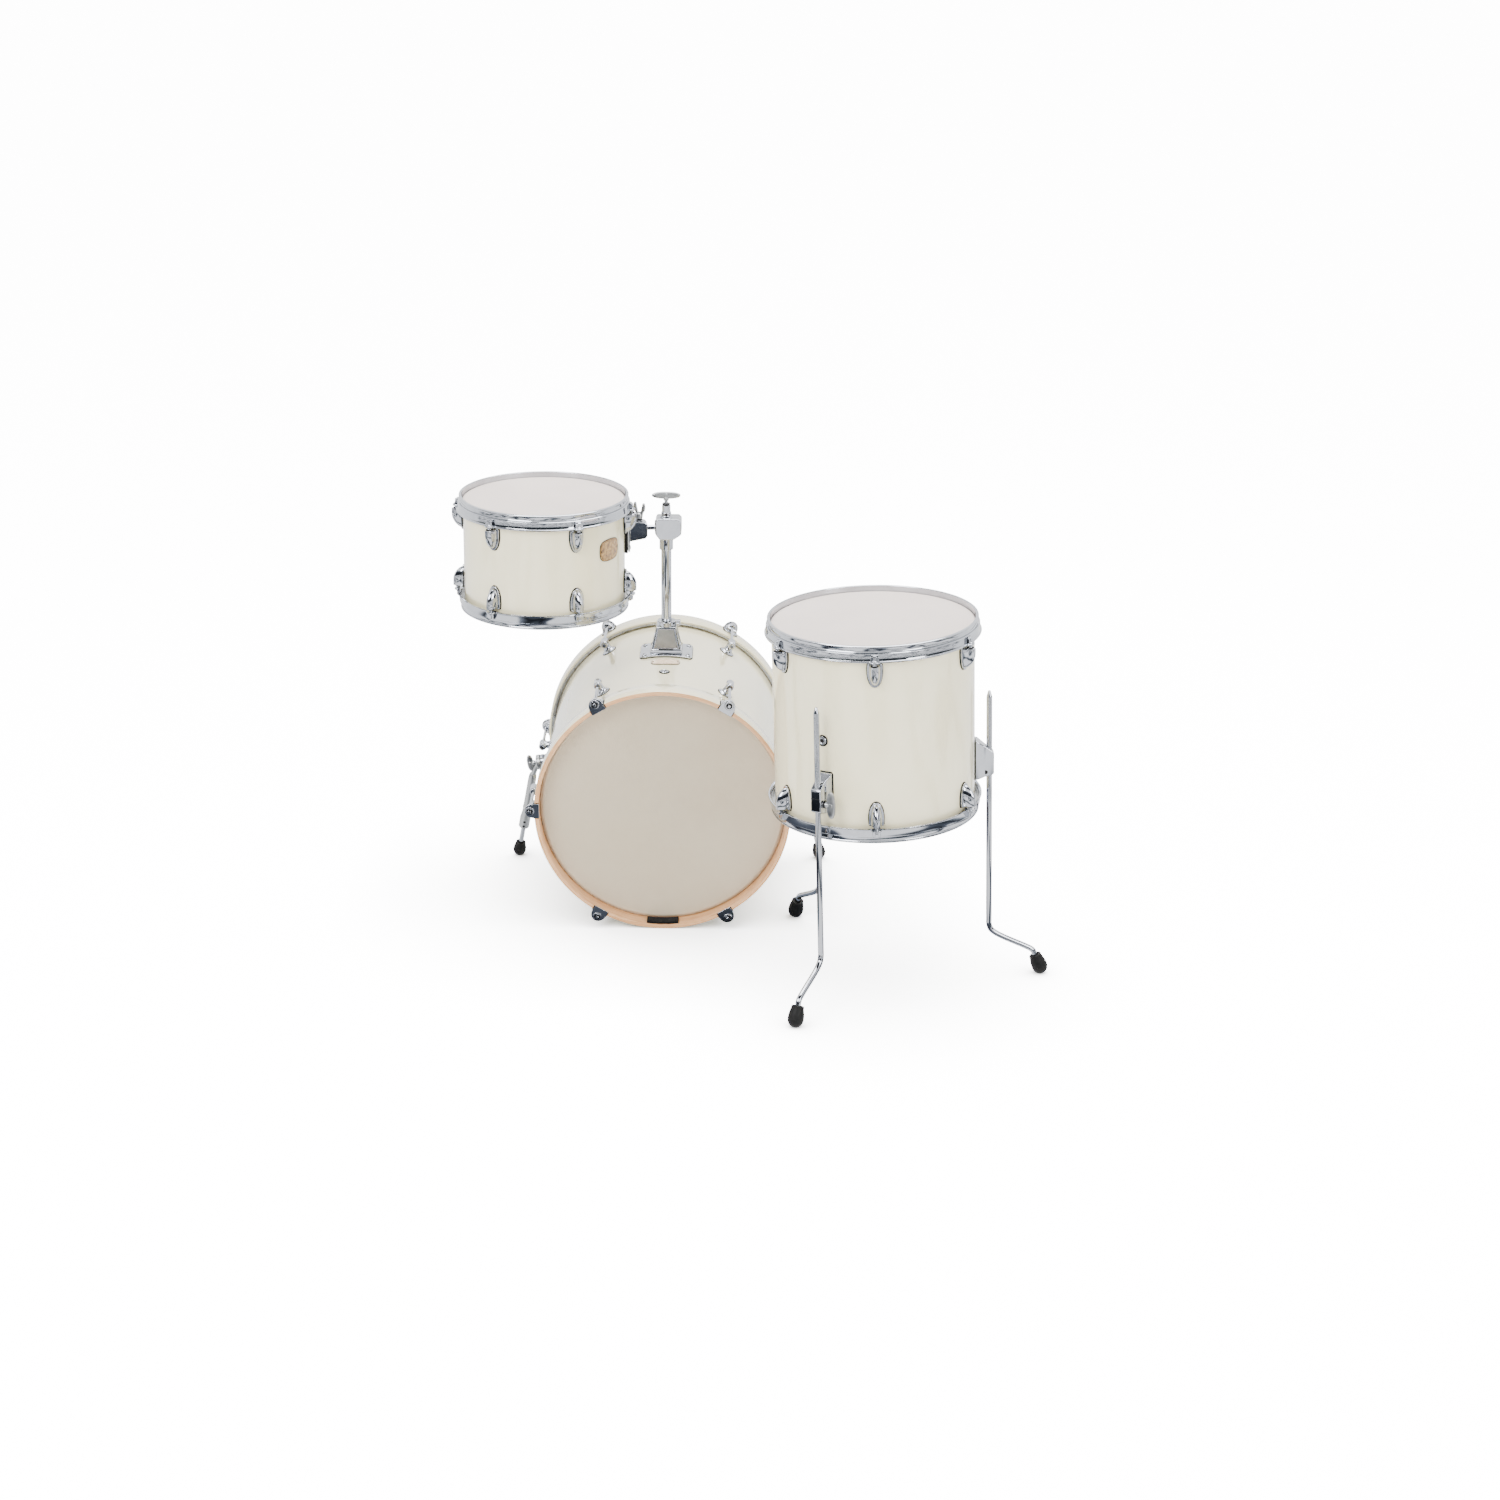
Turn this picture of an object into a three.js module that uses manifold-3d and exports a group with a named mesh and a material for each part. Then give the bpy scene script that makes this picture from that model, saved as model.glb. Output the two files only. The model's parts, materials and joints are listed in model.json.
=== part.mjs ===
// Three-drum jazz kit: bass drum on its side, rack tom on a ball clamp, floor tom on three legs.
// Millimetres, +Z up. The bass drum lies along Y with its struck head towards -Y.
import * as THREE from 'three';
import { mergeVertices } from 'three/addons/utils/BufferGeometryUtils.js';
import Module from 'manifold-3d';

const wasm = await Module();
wasm.setup();

// ---------------------------------------------------------------- driving dimensions
const CLEARANCE = 0.3;             // gap left between parts that touch
const AROUND = 32;                 // facets round a drum

const BASS_SHELL_OD = 454;
const BASS_SHELL_DEPTH = 381;
const BASS_WALL = 7;
const BASS_TILT = 3;               // degrees, far end lifted by the spurs
const WOOD_HOOP_THICK = 8.5;
const WOOD_HOOP_DEPTH = 42;
const WOOD_HOOP_PROUD = 28.5;      // hoop edge in front of the bearing edge
const BASS_LUG_INSET = 104;        // lug centre from the hoop edge
const ROD_STANDOFF = 19;           // tension rod outside the bass shell
const BARREL_HALF = 15;            // half the length of a bass lug barrel
const VENT_STATION = 135;          // bass drum vent from the struck hoop edge

const TOM_SHELL_OD = 301;
const TOM_SHELL_DEPTH = 194.5;
const FLOOR_SHELL_OD = 354.4;
const FLOOR_SHELL_DEPTH = 334;
const UPRIGHT_WALL = 6;
const RIM_RISE = 11;               // steel rim lip above the bearing edge
const RIM_HEIGHT = 28.3;
const RIM_GAUGE = 2.3;
const LIP_OUT = 7.3;               // lip outside the shell
const KEY_ROD_OUT = 13.3;          // tension rod axis outside an upright shell
const KEY_ROD_RADIUS = 3.1;
const LUG_TOP = -32;               // lug below the lip
const LUG_LENGTH = 42;
const LUG_COUNT = 6;
const TOM_LUG_START = -33;         // degrees from the player's side
const FLOOR_LUG_START = -1;

const POST_DIAMETER = 19.5;
const POST_STATION = 254;          // along the bass drum from the struck hoop edge
const BALL_HEIGHT = 246;           // ball centre above the bass shell
const BALL_DIAMETER = 30;
const TOWER_HEIGHT = 52;
const POST_TAIL = 70;              // post reaching into the bass drum
const HEX_ACROSS_FLATS = 9;
const TOM_REACH = 229;             // ball centre to tom axis
const TOM_BRACKET_AZIMUTH = 98;
const TOM_BRACKET_WIDTH = 28;
const TOM_LIP_ABOVE_ROD = 71.5;
const TOM_TILT_X = 1.9;
const TOM_TILT_Y = 0.3;

const FLOOR_TOM_X = BASS_SHELL_OD / 2 + 146.3; // stands clear of the bass drum
const FLOOR_TOM_Y = -187.5;
const FLOOR_TOM_LIP = 675.3;
const FLOOR_TILT_X = 1.07;
const FLOOR_TILT_Y = -1.99;
const LEG_AZIMUTHS = [-30.5, 89.5, -150.5];
const LEG_NAMES = ['front_left', 'right', 'rear_left'];
const LEG_DIAMETER = 10.5;
const LEG_STANDOFF = 25.8;         // leg axis outside the shell
const LEG_SPREAD = 92;             // foot outside the leg axis
const LEG_ABOVE_BEND = [468, 453, 458]; // each leg is set to its own height in its bracket
const BEND_HEIGHT = 90;
const LEG_CHEEK = 10;              // half width of the bracket where it holds the leg
const BRACKET_DROP = 270;          // bracket centre below the lip
const FOOT_RADIUS = 14.3;

const SPUR_STATION = 328;
const SPUR_ANGLE = 97.7;           // degrees from the top of the bass drum
const SPUR_BARREL_RADIUS = 15;
const SPUR_TUBE_RADIUS = 8.3;
const SPUR_ROD_RADIUS = 4.6;
const SPUR_FOOT_RADIUS = 12.7;
const SPUR_FOOT_X = 301;
const SPUR_FOOT_Y = 398;

// ---------------------------------------------------------------- finishes
const FINISHES = {
  ivory: { color: 0xe4e1d4, roughness: 0.18, metalness: 0 },
  maple: { color: 0xd3ab7f, roughness: 0.35, metalness: 0 },
  batter: { color: 0xd9d3cb, roughness: 0.6, metalness: 0 },
  resonant: { color: 0xcfcac2, roughness: 0.45, metalness: 0 },
  chrome: { color: 0xc9ccd0, roughness: 0.12, metalness: 1 },
  satin: { color: 0xb4b6b6, roughness: 0.4, metalness: 0.9 },
  rubber: { color: 0x1d1d1d, roughness: 0.85, metalness: 0 },
  resin: { color: 0x222224, roughness: 0.5, metalness: 0 },
  badge: { color: 0xc9a373, roughness: 0.4, metalness: 0.1 },
};

// ---------------------------------------------------------------- solids
const deg = THREE.MathUtils.degToRad;

function toManifold(geometry) {
  const bare = new THREE.BufferGeometry();
  bare.setAttribute('position', geometry.getAttribute('position').clone());
  if (geometry.index) bare.setIndex(geometry.index.clone());
  const merged = mergeVertices(bare, 1e-4);
  const points = merged.getAttribute('position').array;
  const corners = [];
  for (let i = 0; i < merged.index.count; i += 3) {
    const [a, b, c] = [0, 1, 2].map((k) => merged.index.getX(i + k));
    if (a !== b && b !== c && c !== a) corners.push(a, b, c);
  }
  const at = (i) => new THREE.Vector3().fromArray(points, 3 * i);
  let volume = 0;
  for (let i = 0; i < corners.length; i += 3) {
    volume += at(corners[i]).dot(at(corners[i + 1]).cross(at(corners[i + 2])));
  }
  if (volume < 0) {
    for (let i = 0; i < corners.length; i += 3) {
      [corners[i + 1], corners[i + 2]] = [corners[i + 2], corners[i + 1]];
    }
  }
  return new wasm.Manifold(new wasm.Mesh({
    numProp: 3,
    vertProperties: Float32Array.from(points),
    triVerts: Uint32Array.from(corners),
  }));
}

function toGeometry(manifold) {
  const mesh = manifold.getMesh();
  const geometry = new THREE.BufferGeometry();
  geometry.setAttribute('position', new THREE.BufferAttribute(mesh.vertProperties.slice(), 3));
  geometry.setIndex(new THREE.BufferAttribute(mesh.triVerts.slice(), 1));
  return geometry;
}

function join(...pieces) {
  return toGeometry(pieces.map(toManifold).reduce((a, b) => a.add(b)));
}

function cut(blank, ...tools) {
  return toGeometry(tools.map(toManifold).reduce((a, b) => a.subtract(b), toManifold(blank)));
}

function common(a, b) {
  return toGeometry(toManifold(a).intersect(toManifold(b)));
}

// Closed [radius, height] profile revolved about Z.
function turned(profile, segments = 20) {
  const loop = profile.map(([r, z]) => new THREE.Vector2(r, z));
  loop.push(loop[0].clone());
  return new THREE.LatheGeometry(loop, segments).rotateX(Math.PI / 2);
}

// Outline in the XY plane pushed up Z from z0 by height.
function prism(outline, z0, height) {
  const shape = new THREE.Shape(outline.map(([x, y]) => new THREE.Vector2(x, y)));
  return new THREE.ExtrudeGeometry(shape, { depth: height, bevelEnabled: false }).translate(0, 0, z0);
}

// Outline of [across, up] pushed along Y and centred on it.
function slab(outline, thickness) {
  return prism(outline, -thickness / 2, thickness).rotateX(Math.PI / 2);
}

// Outline of [outward, up] pushed along X and centred on it; outward is -Y.
function sideSlab(outline, thickness) {
  return slab(outline, thickness).rotateZ(-Math.PI / 2);
}

function rod(radius, z0, z1, segments = 12) {
  return turned([[0, z0], [radius, z0], [radius, z1], [0, z1]], segments);
}

function box(x0, x1, y0, y1, z0, z1) {
  const blank = new THREE.BoxGeometry(x1 - x0, y1 - y0, z1 - z0);
  return blank.translate((x0 + x1) / 2, (y0 + y1) / 2, (z0 + z1) / 2);
}

// Turns a piece so its Z axis points along a direction and moves it to a point.
function aim(geometry, point, direction) {
  const turn = new THREE.Quaternion().setFromUnitVectors(
    new THREE.Vector3(0, 0, 1), direction.clone().normalize());
  return geometry.applyQuaternion(turn).translate(point.x, point.y, point.z);
}

// ---------------------------------------------------------------- frames
const bassRadius = BASS_SHELL_OD / 2;
const woodHoopRadius = bassRadius + 2.6 + WOOD_HOOP_THICK;
const bassLength = BASS_SHELL_DEPTH + 2 * WOOD_HOOP_PROUD;
const rodRadiusFromAxis = bassRadius + ROD_STANDOFF;

const bassFrame = new THREE.Matrix4()
  .makeTranslation(0, 0, woodHoopRadius * Math.cos(deg(BASS_TILT)))
  .multiply(new THREE.Matrix4().makeRotationX(deg(BASS_TILT)));

const ballInBass = new THREE.Vector3(0, POST_STATION, bassRadius + BALL_HEIGHT);
const ballCentre = ballInBass.clone().applyMatrix4(bassFrame);

const tomTurn = new THREE.Matrix4().makeRotationX(deg(TOM_TILT_X))
  .multiply(new THREE.Matrix4().makeRotationY(deg(TOM_TILT_Y)));
const bracketDirection = new THREE.Vector3(
  Math.sin(deg(TOM_BRACKET_AZIMUTH)), -Math.cos(deg(TOM_BRACKET_AZIMUTH)), 0);
const tomOrigin = bracketDirection.clone().multiplyScalar(-TOM_REACH).applyMatrix4(tomTurn)
  .add(ballCentre);
// Tom frame: origin on the drum axis at the height of the hex rod.
const tomFrame = new THREE.Matrix4().makeTranslation(tomOrigin).multiply(tomTurn);
// Rod frame: origin at the ball centre, -Y towards the tom.
const rodFrame = new THREE.Matrix4().makeTranslation(ballCentre).multiply(tomTurn)
  .multiply(new THREE.Matrix4().makeRotationZ(deg(TOM_BRACKET_AZIMUTH - 180)));

// Floor tom frame: origin at the centre of the top lip.
const floorFrame = new THREE.Matrix4()
  .makeTranslation(FLOOR_TOM_X, FLOOR_TOM_Y, FLOOR_TOM_LIP)
  .multiply(new THREE.Matrix4().makeRotationX(deg(FLOOR_TILT_X)))
  .multiply(new THREE.Matrix4().makeRotationY(deg(FLOOR_TILT_Y)));

const kit = new THREE.Group();
kit.name = 'jazz_drum_kit';

function place(name, geometry, finish, frame = new THREE.Matrix4()) {
  const closed = toGeometry(toManifold(geometry));
  const flat = closed.applyMatrix4(frame).toNonIndexed();
  flat.computeVertexNormals();
  const mesh = new THREE.Mesh(flat, new THREE.MeshStandardMaterial(FINISHES[finish]));
  mesh.name = name;
  kit.add(mesh);
}

// ---------------------------------------------------------------- shared hardware
// Two-winged bolt: seat at z = 0, wings spread along X.
function wingBolt(stem, spread) {
  const wings = slab([
    [-6, stem + 2], [-spread, stem + 15], [-spread, stem + 24], [6 - spread, stem + 24],
    [-3, stem + 9], [3, stem + 9], [spread - 6, stem + 26], [spread, stem + 26],
    [spread, stem + 15], [6, stem + 2],
  ], 5);
  return join(rod(3.2, CLEARANCE, stem + 4, 8), rod(6.4, stem, stem + 9.5, 12), wings);
}

// Bolt with an oval cross handle: seat at z = 0, handle along X.
function ovalBolt(stem, halfLength, halfHeight) {
  const oval = [];
  for (let i = 0; i < 14; i += 1) {
    const a = (2 * Math.PI * i) / 14;
    oval.push([halfLength * Math.cos(a), stem + halfHeight + halfHeight * Math.sin(a)]);
  }
  return join(rod(3.2, CLEARANCE, stem + halfHeight, 8), rod(5, stem - 3, stem + 4, 10), slab(oval, 6));
}

// Rubber foot: axis Z, widest at z = 0, neck above, bored for its rod.
function footBlank(radius, height, rodRadius) {
  const bulb = [[0, -radius]];
  for (const a of [60, 30, 0]) {
    bulb.push([radius * Math.cos(deg(a)), -radius * Math.sin(deg(a))]);
  }
  bulb.push([radius * 0.93, height * 0.45], [radius * 0.76, height - 2], [radius * 0.6, height]);
  bulb.push([0, height]);
  return cut(turned(bulb, 14), rod(rodRadius + 2 * CLEARANCE, 3, height + 5, 14));
}

// ---------------------------------------------------------------- upright drums
function uprightLug(outerRadius) {
  const profile = [[-3, 0], [17, 0], [19.5, 4], [23, 15], [22.5, 25], [16, 37], [-3, LUG_LENGTH]];
  return sideSlab(profile.map(([out, down]) => [outerRadius + out, LUG_TOP - down]), 22);
}

function atEachLug(start, make) {
  const pieces = [];
  for (let i = 0; i < LUG_COUNT; i += 1) {
    pieces.push(make().rotateZ(deg(start + (360 / LUG_COUNT) * i)));
  }
  return pieces;
}

function mirrored(geometry, height) {
  return geometry.clone().scale(1, 1, -1).translate(0, 0, -height);
}

function uprightShell(outerRadius, depth, start) {
  const height = depth + 2 * RIM_RISE;
  const inner = outerRadius - UPRIGHT_WALL;
  const edge = outerRadius - UPRIGHT_WALL / 2;
  const top = -RIM_RISE;
  const wall = turned([
    [edge, top], [outerRadius, top - 2], [outerRadius, 2 - height - top],
    [edge, -height - top], [inner, 3 - height - top], [inner, top - 3],
  ], AROUND);
  const lugs = atEachLug(start, () => uprightLug(outerRadius));
  const lower = lugs.map((lug) => mirrored(lug, height));
  return join(wall, ...lugs, ...lower);
}

function uprightHead(outerRadius) {
  const film = -RIM_RISE + CLEARANCE;
  const ringTop = -RIM_RISE - 3 - CLEARANCE;
  return turned([
    [0, film + 1.2], [outerRadius + 1.5, film + 1.2], [outerRadius + 1.5, ringTop],
    [outerRadius + 6.9, ringTop], [outerRadius + 6.9, ringTop - 8],
    [outerRadius + CLEARANCE, ringTop - 8], [outerRadius + CLEARANCE, film], [0, film],
  ], AROUND);
}

// Triple-flanged steel rim with its ears and key rods.
function uprightRim(outerRadius, start) {
  const step = -RIM_RISE - 3;
  const wallIn = outerRadius + 6.9 + CLEARANCE;
  const ring = turned([
    [outerRadius + 1.8, 0], [outerRadius + LIP_OUT, 0], [outerRadius + LIP_OUT, -2.5],
    [outerRadius + 1.8 + RIM_GAUGE, -2.5], [outerRadius + 1.8 + RIM_GAUGE, step + RIM_GAUGE],
    [wallIn + RIM_GAUGE, step + RIM_GAUGE], [wallIn + RIM_GAUGE, -RIM_HEIGHT + RIM_GAUGE],
    [outerRadius + 12.5, -RIM_HEIGHT + RIM_GAUGE], [outerRadius + 12.5, -RIM_HEIGHT],
    [wallIn, -RIM_HEIGHT], [wallIn, step], [outerRadius + 1.8, step],
  ], AROUND);
  const rodCentre = outerRadius + KEY_ROD_OUT;
  const ears = atEachLug(start, () => join(
    rod(7.5, -RIM_HEIGHT, -RIM_HEIGHT + RIM_GAUGE, 8),
    rod(KEY_ROD_RADIUS, LUG_TOP + CLEARANCE, -8, 6),
  ).translate(0, -rodCentre, 0));
  return join(ring, ...ears);
}

function roundVent(outerRadius, azimuth, z) {
  const tube = outerRadius - UPRIGHT_WALL;
  const grommet = turned([
    [3.2, tube], [5.2, tube], [5.2, outerRadius + 0.6], [9.6, outerRadius + 0.6],
    [9.6, outerRadius + 1.4], [7, outerRadius + 2.4], [3.2, outerRadius + 2.4],
  ], 14);
  return grommet.rotateX(Math.PI / 2).translate(0, 0, z).rotateZ(deg(azimuth));
}

function ventBore(outerRadius, azimuth, z) {
  return rod(5.2 + CLEARANCE, outerRadius - 12, outerRadius + 8, 14)
    .rotateX(Math.PI / 2).translate(0, 0, z).rotateZ(deg(azimuth));
}

// Thin plate following the shell, clipped to an outline seen from outside.
function shellBadge(outerRadius, outline, azimuth, z) {
  const skin = turned([
    [outerRadius + 0.35, z - 40], [outerRadius + 1.35, z - 40],
    [outerRadius + 1.35, z + 40], [outerRadius + 0.35, z + 40],
  ], AROUND * 2);
  const punch = slab(outline, 40).translate(0, -outerRadius, z).rotateZ(deg(azimuth));
  return common(skin, punch);
}

function uprightDrum(name, outerRadius, depth, start, vent, frame) {
  const height = depth + 2 * RIM_RISE;
  const wall = uprightShell(outerRadius, depth, start);
  const bore = ventBore(outerRadius, vent.azimuth, vent.z);
  place(`${name}_shell`, cut(wall, bore), 'ivory', frame);
  place(`${name}_vent`, roundVent(outerRadius, vent.azimuth, vent.z), 'chrome', frame);
  place(`${name}_batter_head`, uprightHead(outerRadius), 'batter', frame);
  place(`${name}_bottom_head`, mirrored(uprightHead(outerRadius), height), 'resonant', frame);
  place(`${name}_top_rim`, uprightRim(outerRadius, start), 'chrome', frame);
  place(`${name}_bottom_rim`, mirrored(uprightRim(outerRadius, start), height), 'chrome', frame);
}

// ---------------------------------------------------------------- bass drum
// Piece modelled at the top of the bass drum, turned round its axis.
function roundBass(geometry, angle) {
  return geometry.rotateY(deg(angle));
}

function alongBass(profile, segments = AROUND) {
  return turned(profile, segments).rotateX(-Math.PI / 2);
}

function farSide(geometry) {
  return geometry.clone().scale(1, -1, 1).translate(0, bassLength, 0);
}

const CLAW_ANGLES = [30, 90, 150, -150, -90, -30];

function bassLug() {
  const barrel = rod(7.2, -BARREL_HALF, BARREL_HALF, 8).rotateX(Math.PI / 2)
    .translate(0, BASS_LUG_INSET, rodRadiusFromAxis);
  const stalk = rod(8.5, bassRadius - 3, rodRadiusFromAxis, 8).translate(0, BASS_LUG_INSET, 0);
  return join(barrel, stalk);
}

function bassShell() {
  const start = WOOD_HOOP_PROUD;
  const end = bassLength - WOOD_HOOP_PROUD;
  const inner = bassRadius - BASS_WALL;
  const wall = alongBass([
    [bassRadius - 3.5, start], [bassRadius, start + 2.5], [bassRadius, end - 2.5],
    [bassRadius - 3.5, end], [inner, end - 3.5], [inner, start + 3.5],
  ]);
  const lugs = CLAW_ANGLES.map((angle) => roundBass(bassLug(), angle));
  const all = join(wall, ...lugs, ...lugs.map(farSide));
  const postHole = rod(POST_DIAMETER / 2 + 2.5, bassRadius - 15, bassRadius + 5, 20)
    .translate(0, POST_STATION, 0);
  const vent = rod(6.2 + CLEARANCE, bassRadius - 15, bassRadius + 5, 14)
    .translate(0, VENT_STATION, 0);
  return cut(all, postHole, vent);
}

function bassHead() {
  const film = WOOD_HOOP_PROUD - CLEARANCE;
  const ringFront = WOOD_HOOP_DEPTH - 6;
  return alongBass([
    [0, film - 1.2], [bassRadius + 2.2, film - 1.2], [bassRadius + 2.2, ringFront],
    [bassRadius + 6.6, ringFront], [bassRadius + 6.6, ringFront + 8.5],
    [bassRadius + CLEARANCE, ringFront + 8.5], [bassRadius + CLEARANCE, film], [0, film],
  ]);
}

// Claw modelled at the top of the hoop with its rod running back to the lug.
function clawAndRod() {
  const outer = rodRadiusFromAxis;
  const buried = woodHoopRadius - 3.5;
  const hook = sideSlab([
    [-2, bassRadius + 4], [-2, outer + 7.5], [4, outer + 9.5], [4, bassRadius + 1.5],
    [0.2, bassRadius + 1.5],
  ], 28);
  const back = sideSlab([
    [1, buried], [1, outer + 8.5], [-8, outer + 9], [-26, outer - 1], [-26, buried],
  ], 24);
  const keyRod = rod(3, 10, BASS_LUG_INSET - BARREL_HALF - CLEARANCE, 6).rotateX(-Math.PI / 2)
    .translate(0, 0, outer);
  return join(hook, back, keyRod);
}

function woodHoop() {
  const inner = woodHoopRadius - WOOD_HOOP_THICK;
  const rabbet = bassRadius + 6.6 + CLEARANCE;
  const ring = alongBass([
    [inner, 1.5], [inner + 1.5, 0], [woodHoopRadius - 1.5, 0], [woodHoopRadius, 1.5],
    [woodHoopRadius, WOOD_HOOP_DEPTH], [rabbet, WOOD_HOOP_DEPTH],
    [rabbet, WOOD_HOOP_DEPTH - 6 - CLEARANCE], [inner, WOOD_HOOP_DEPTH - 6 - CLEARANCE],
  ]);
  const claws = CLAW_ANGLES.map((angle) => roundBass(clawAndRod(), angle));
  return join(ring, ...claws);
}

function pedalPad() {
  const outer = woodHoopRadius - WOOD_HOOP_THICK - CLEARANCE;
  const ring = alongBass([[outer - 5, 0.5], [outer, 0.5], [outer, 25], [outer - 5, 25]]);
  return common(ring, box(-30, 30, -5, 40, -outer - 5, -outer + 40));
}

function bassVent() {
  return turned([
    [3.8, bassRadius - BASS_WALL], [6.2, bassRadius - BASS_WALL], [6.2, bassRadius + 0.5],
    [10.3, bassRadius + 0.5], [10.3, bassRadius + 1.4], [8, bassRadius + 2.6], [3.8, bassRadius + 2.6],
  ], 14).translate(0, VENT_STATION, 0);
}

function bassBadge() {
  const skin = alongBass([
    [bassRadius + 0.35, 170], [bassRadius + 1.35, 170], [bassRadius + 1.35, 210],
    [bassRadius + 0.35, 210],
  ], AROUND * 2);
  return common(skin, box(-27.5, 27.5, 175, 205, bassRadius - 20, bassRadius + 20));
}

// ---------------------------------------------------------------- tom holder
const towerTop = bassRadius + TOWER_HEIGHT;
const boltSeat = { y: POST_STATION + 19, z: bassRadius + 30 };

function mountBase() {
  const skin = alongBass([
    [bassRadius + 0.4, POST_STATION - 37.5], [bassRadius + 4.4, POST_STATION - 37.5],
    [bassRadius + 4.4, POST_STATION + 37.5], [bassRadius + 0.4, POST_STATION + 37.5],
  ], AROUND * 2);
  const plate = common(skin, box(-49.5, 49.5, 0, bassLength, bassRadius - 20, bassRadius + 20));
  const side = slab([
    [-31, bassRadius + 3], [-27.5, bassRadius + 9], [-18.8, towerTop],
    [18.8, towerTop], [27.5, bassRadius + 9], [31, bassRadius + 3],
  ], 60);
  const front = sideSlab([
    [-27, bassRadius + 3], [-23, bassRadius + 9], [-18, towerTop],
    [18, towerTop], [23, bassRadius + 9], [27, bassRadius + 3],
  ], 90);
  const tower = common(side, front).translate(0, POST_STATION, 0);
  const boss = rod(8, 0, 19, 16).rotateX(-Math.PI / 2).translate(0, POST_STATION, boltSeat.z);
  const underside = alongBass([
    [0, 100], [bassRadius + 0.4, 100], [bassRadius + 0.4, 400], [0, 400]], AROUND * 2);
  const bore = rod(POST_DIAMETER / 2 + CLEARANCE, bassRadius - 20, towerTop + 5, 20);
  return cut(join(plate, tower, boss.translate(0, 2, 0)), underside, bore.translate(0, POST_STATION, 0));
}

function memoryLock() {
  const ring = rod(18, towerTop + CLEARANCE, towerTop + 10, 20);
  const ear = box(14, 27, -5, 5, towerTop + CLEARANCE, towerTop + 10);
  const bore = rod(POST_DIAMETER / 2 + CLEARANCE, towerTop - 5, towerTop + 15, 20);
  return cut(join(ring, ear), bore).translate(0, POST_STATION, 0);
}

function tomPost() {
  const top = bassRadius + BALL_HEIGHT - 22 - CLEARANCE;
  return rod(POST_DIAMETER / 2, bassRadius - POST_TAIL, top, 20).translate(0, POST_STATION, 0);
}

// Ball clamp modelled round the ball centre, post below, open sides along X.
function ballClamp() {
  const body = slab([
    [-19, -11], [-12, -20], [14, -20], [26, -12], [29, -9], [29, 15], [24, 20],
    [-17, 20], [-20, 15],
  ], 40);
  const sleeve = rod(13, -43, -18, 20);
  const boss = join(rod(9.5, 18, 31, 12), rod(7.5, 29, 43, 6));
  const facetLoss = Math.cos(Math.PI / 16) * Math.cos(Math.PI / 20);
  const socket = new THREE.SphereGeometry((BALL_DIAMETER / 2 + CLEARANCE) / facetLoss, 16, 10);
  const mouth = turned([[0, 0], [10.5, 0], [13, 45], [0, 45]], 16).rotateY(-Math.PI / 2)
    .rotateZ(deg(TOM_BRACKET_AZIMUTH - 90));
  const exit = rod(9, 0, 45, 14).rotateY(Math.PI / 2);
  const bore = rod(POST_DIAMETER / 2 + CLEARANCE, -60, -22, 20);
  return cut(join(body, sleeve, boss), socket, mouth, exit, bore);
}

function clampBall() {
  const flare = turned([
    [0, -20], [HEX_ACROSS_FLATS * 0.62 + 3.9, -20], [HEX_ACROSS_FLATS * 0.62 + 0.6, 0],
    [HEX_ACROSS_FLATS * 0.62 + 3.9, 20], [0, 20],
  ], 12).rotateX(Math.PI / 2);
  return cut(new THREE.SphereGeometry(BALL_DIAMETER / 2, 16, 10), flare);
}

const gasketOuter = TOM_SHELL_OD / 2 + 6.4;
const plateOuter = gasketOuter + CLEARANCE + 3.7;
const blockOuter = TOM_SHELL_OD / 2 + 42.5;

function hexRod() {
  const reach = TOM_REACH - plateOuter - 20;
  const across = HEX_ACROSS_FLATS / 2 / Math.cos(Math.PI / 6);
  return rod(across, -12, reach, 6).rotateX(Math.PI / 2);
}

// Bracket pieces sit at the tom's bracket azimuth in the tom frame.
function conformed(inner, outer, halfWidth, low, high) {
  const skin = turned([[inner, low], [outer, low], [outer, high], [inner, high]], AROUND * 2);
  return common(skin, box(-halfWidth, halfWidth, -outer - 10, -inner + 20, low - 5, high + 5));
}

function bracketGasket() {
  return conformed(TOM_SHELL_OD / 2 + 0.35, gasketOuter, TOM_BRACKET_WIDTH / 2, -47, 31)
    .rotateZ(deg(TOM_BRACKET_AZIMUTH));
}

function tomBracket() {
  const plate = conformed(gasketOuter + CLEARANCE, plateOuter, TOM_BRACKET_WIDTH / 2, -47, 31);
  const block = sideSlab([
    [plateOuter - 2, -24], [blockOuter, -17], [blockOuter, 9], [blockOuter - 4, 13],
    [plateOuter - 2, 15],
  ], 26);
  const bore = rod(HEX_ACROSS_FLATS * 0.62 + 0.3, plateOuter + 3, blockOuter + 10, 16)
    .rotateX(Math.PI / 2);
  return cut(join(plate, block), bore).rotateZ(deg(TOM_BRACKET_AZIMUTH));
}

// ---------------------------------------------------------------- floor tom legs
const floorRadius = FLOOR_SHELL_OD / 2;
const legRadius = floorRadius + LEG_STANDOFF;
const footLean = deg(22);

// Height in the floor tom frame at which a foot standing at this azimuth meets the floor.
function footCentre(azimuth) {
  const r = legRadius + LEG_SPREAD;
  const inverse = floorFrame.clone().invert();
  const out = new THREE.Vector3(r * Math.sin(deg(azimuth)), -r * Math.cos(deg(azimuth)), 0);
  const below = out.applyMatrix4(floorFrame);
  const down = new THREE.Vector3(0, 0, -1).transformDirection(floorFrame);
  const travel = (below.z - FOOT_RADIUS + 0.7) / -down.z;
  return below.addScaledVector(down, travel).applyMatrix4(inverse).z;
}

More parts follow.
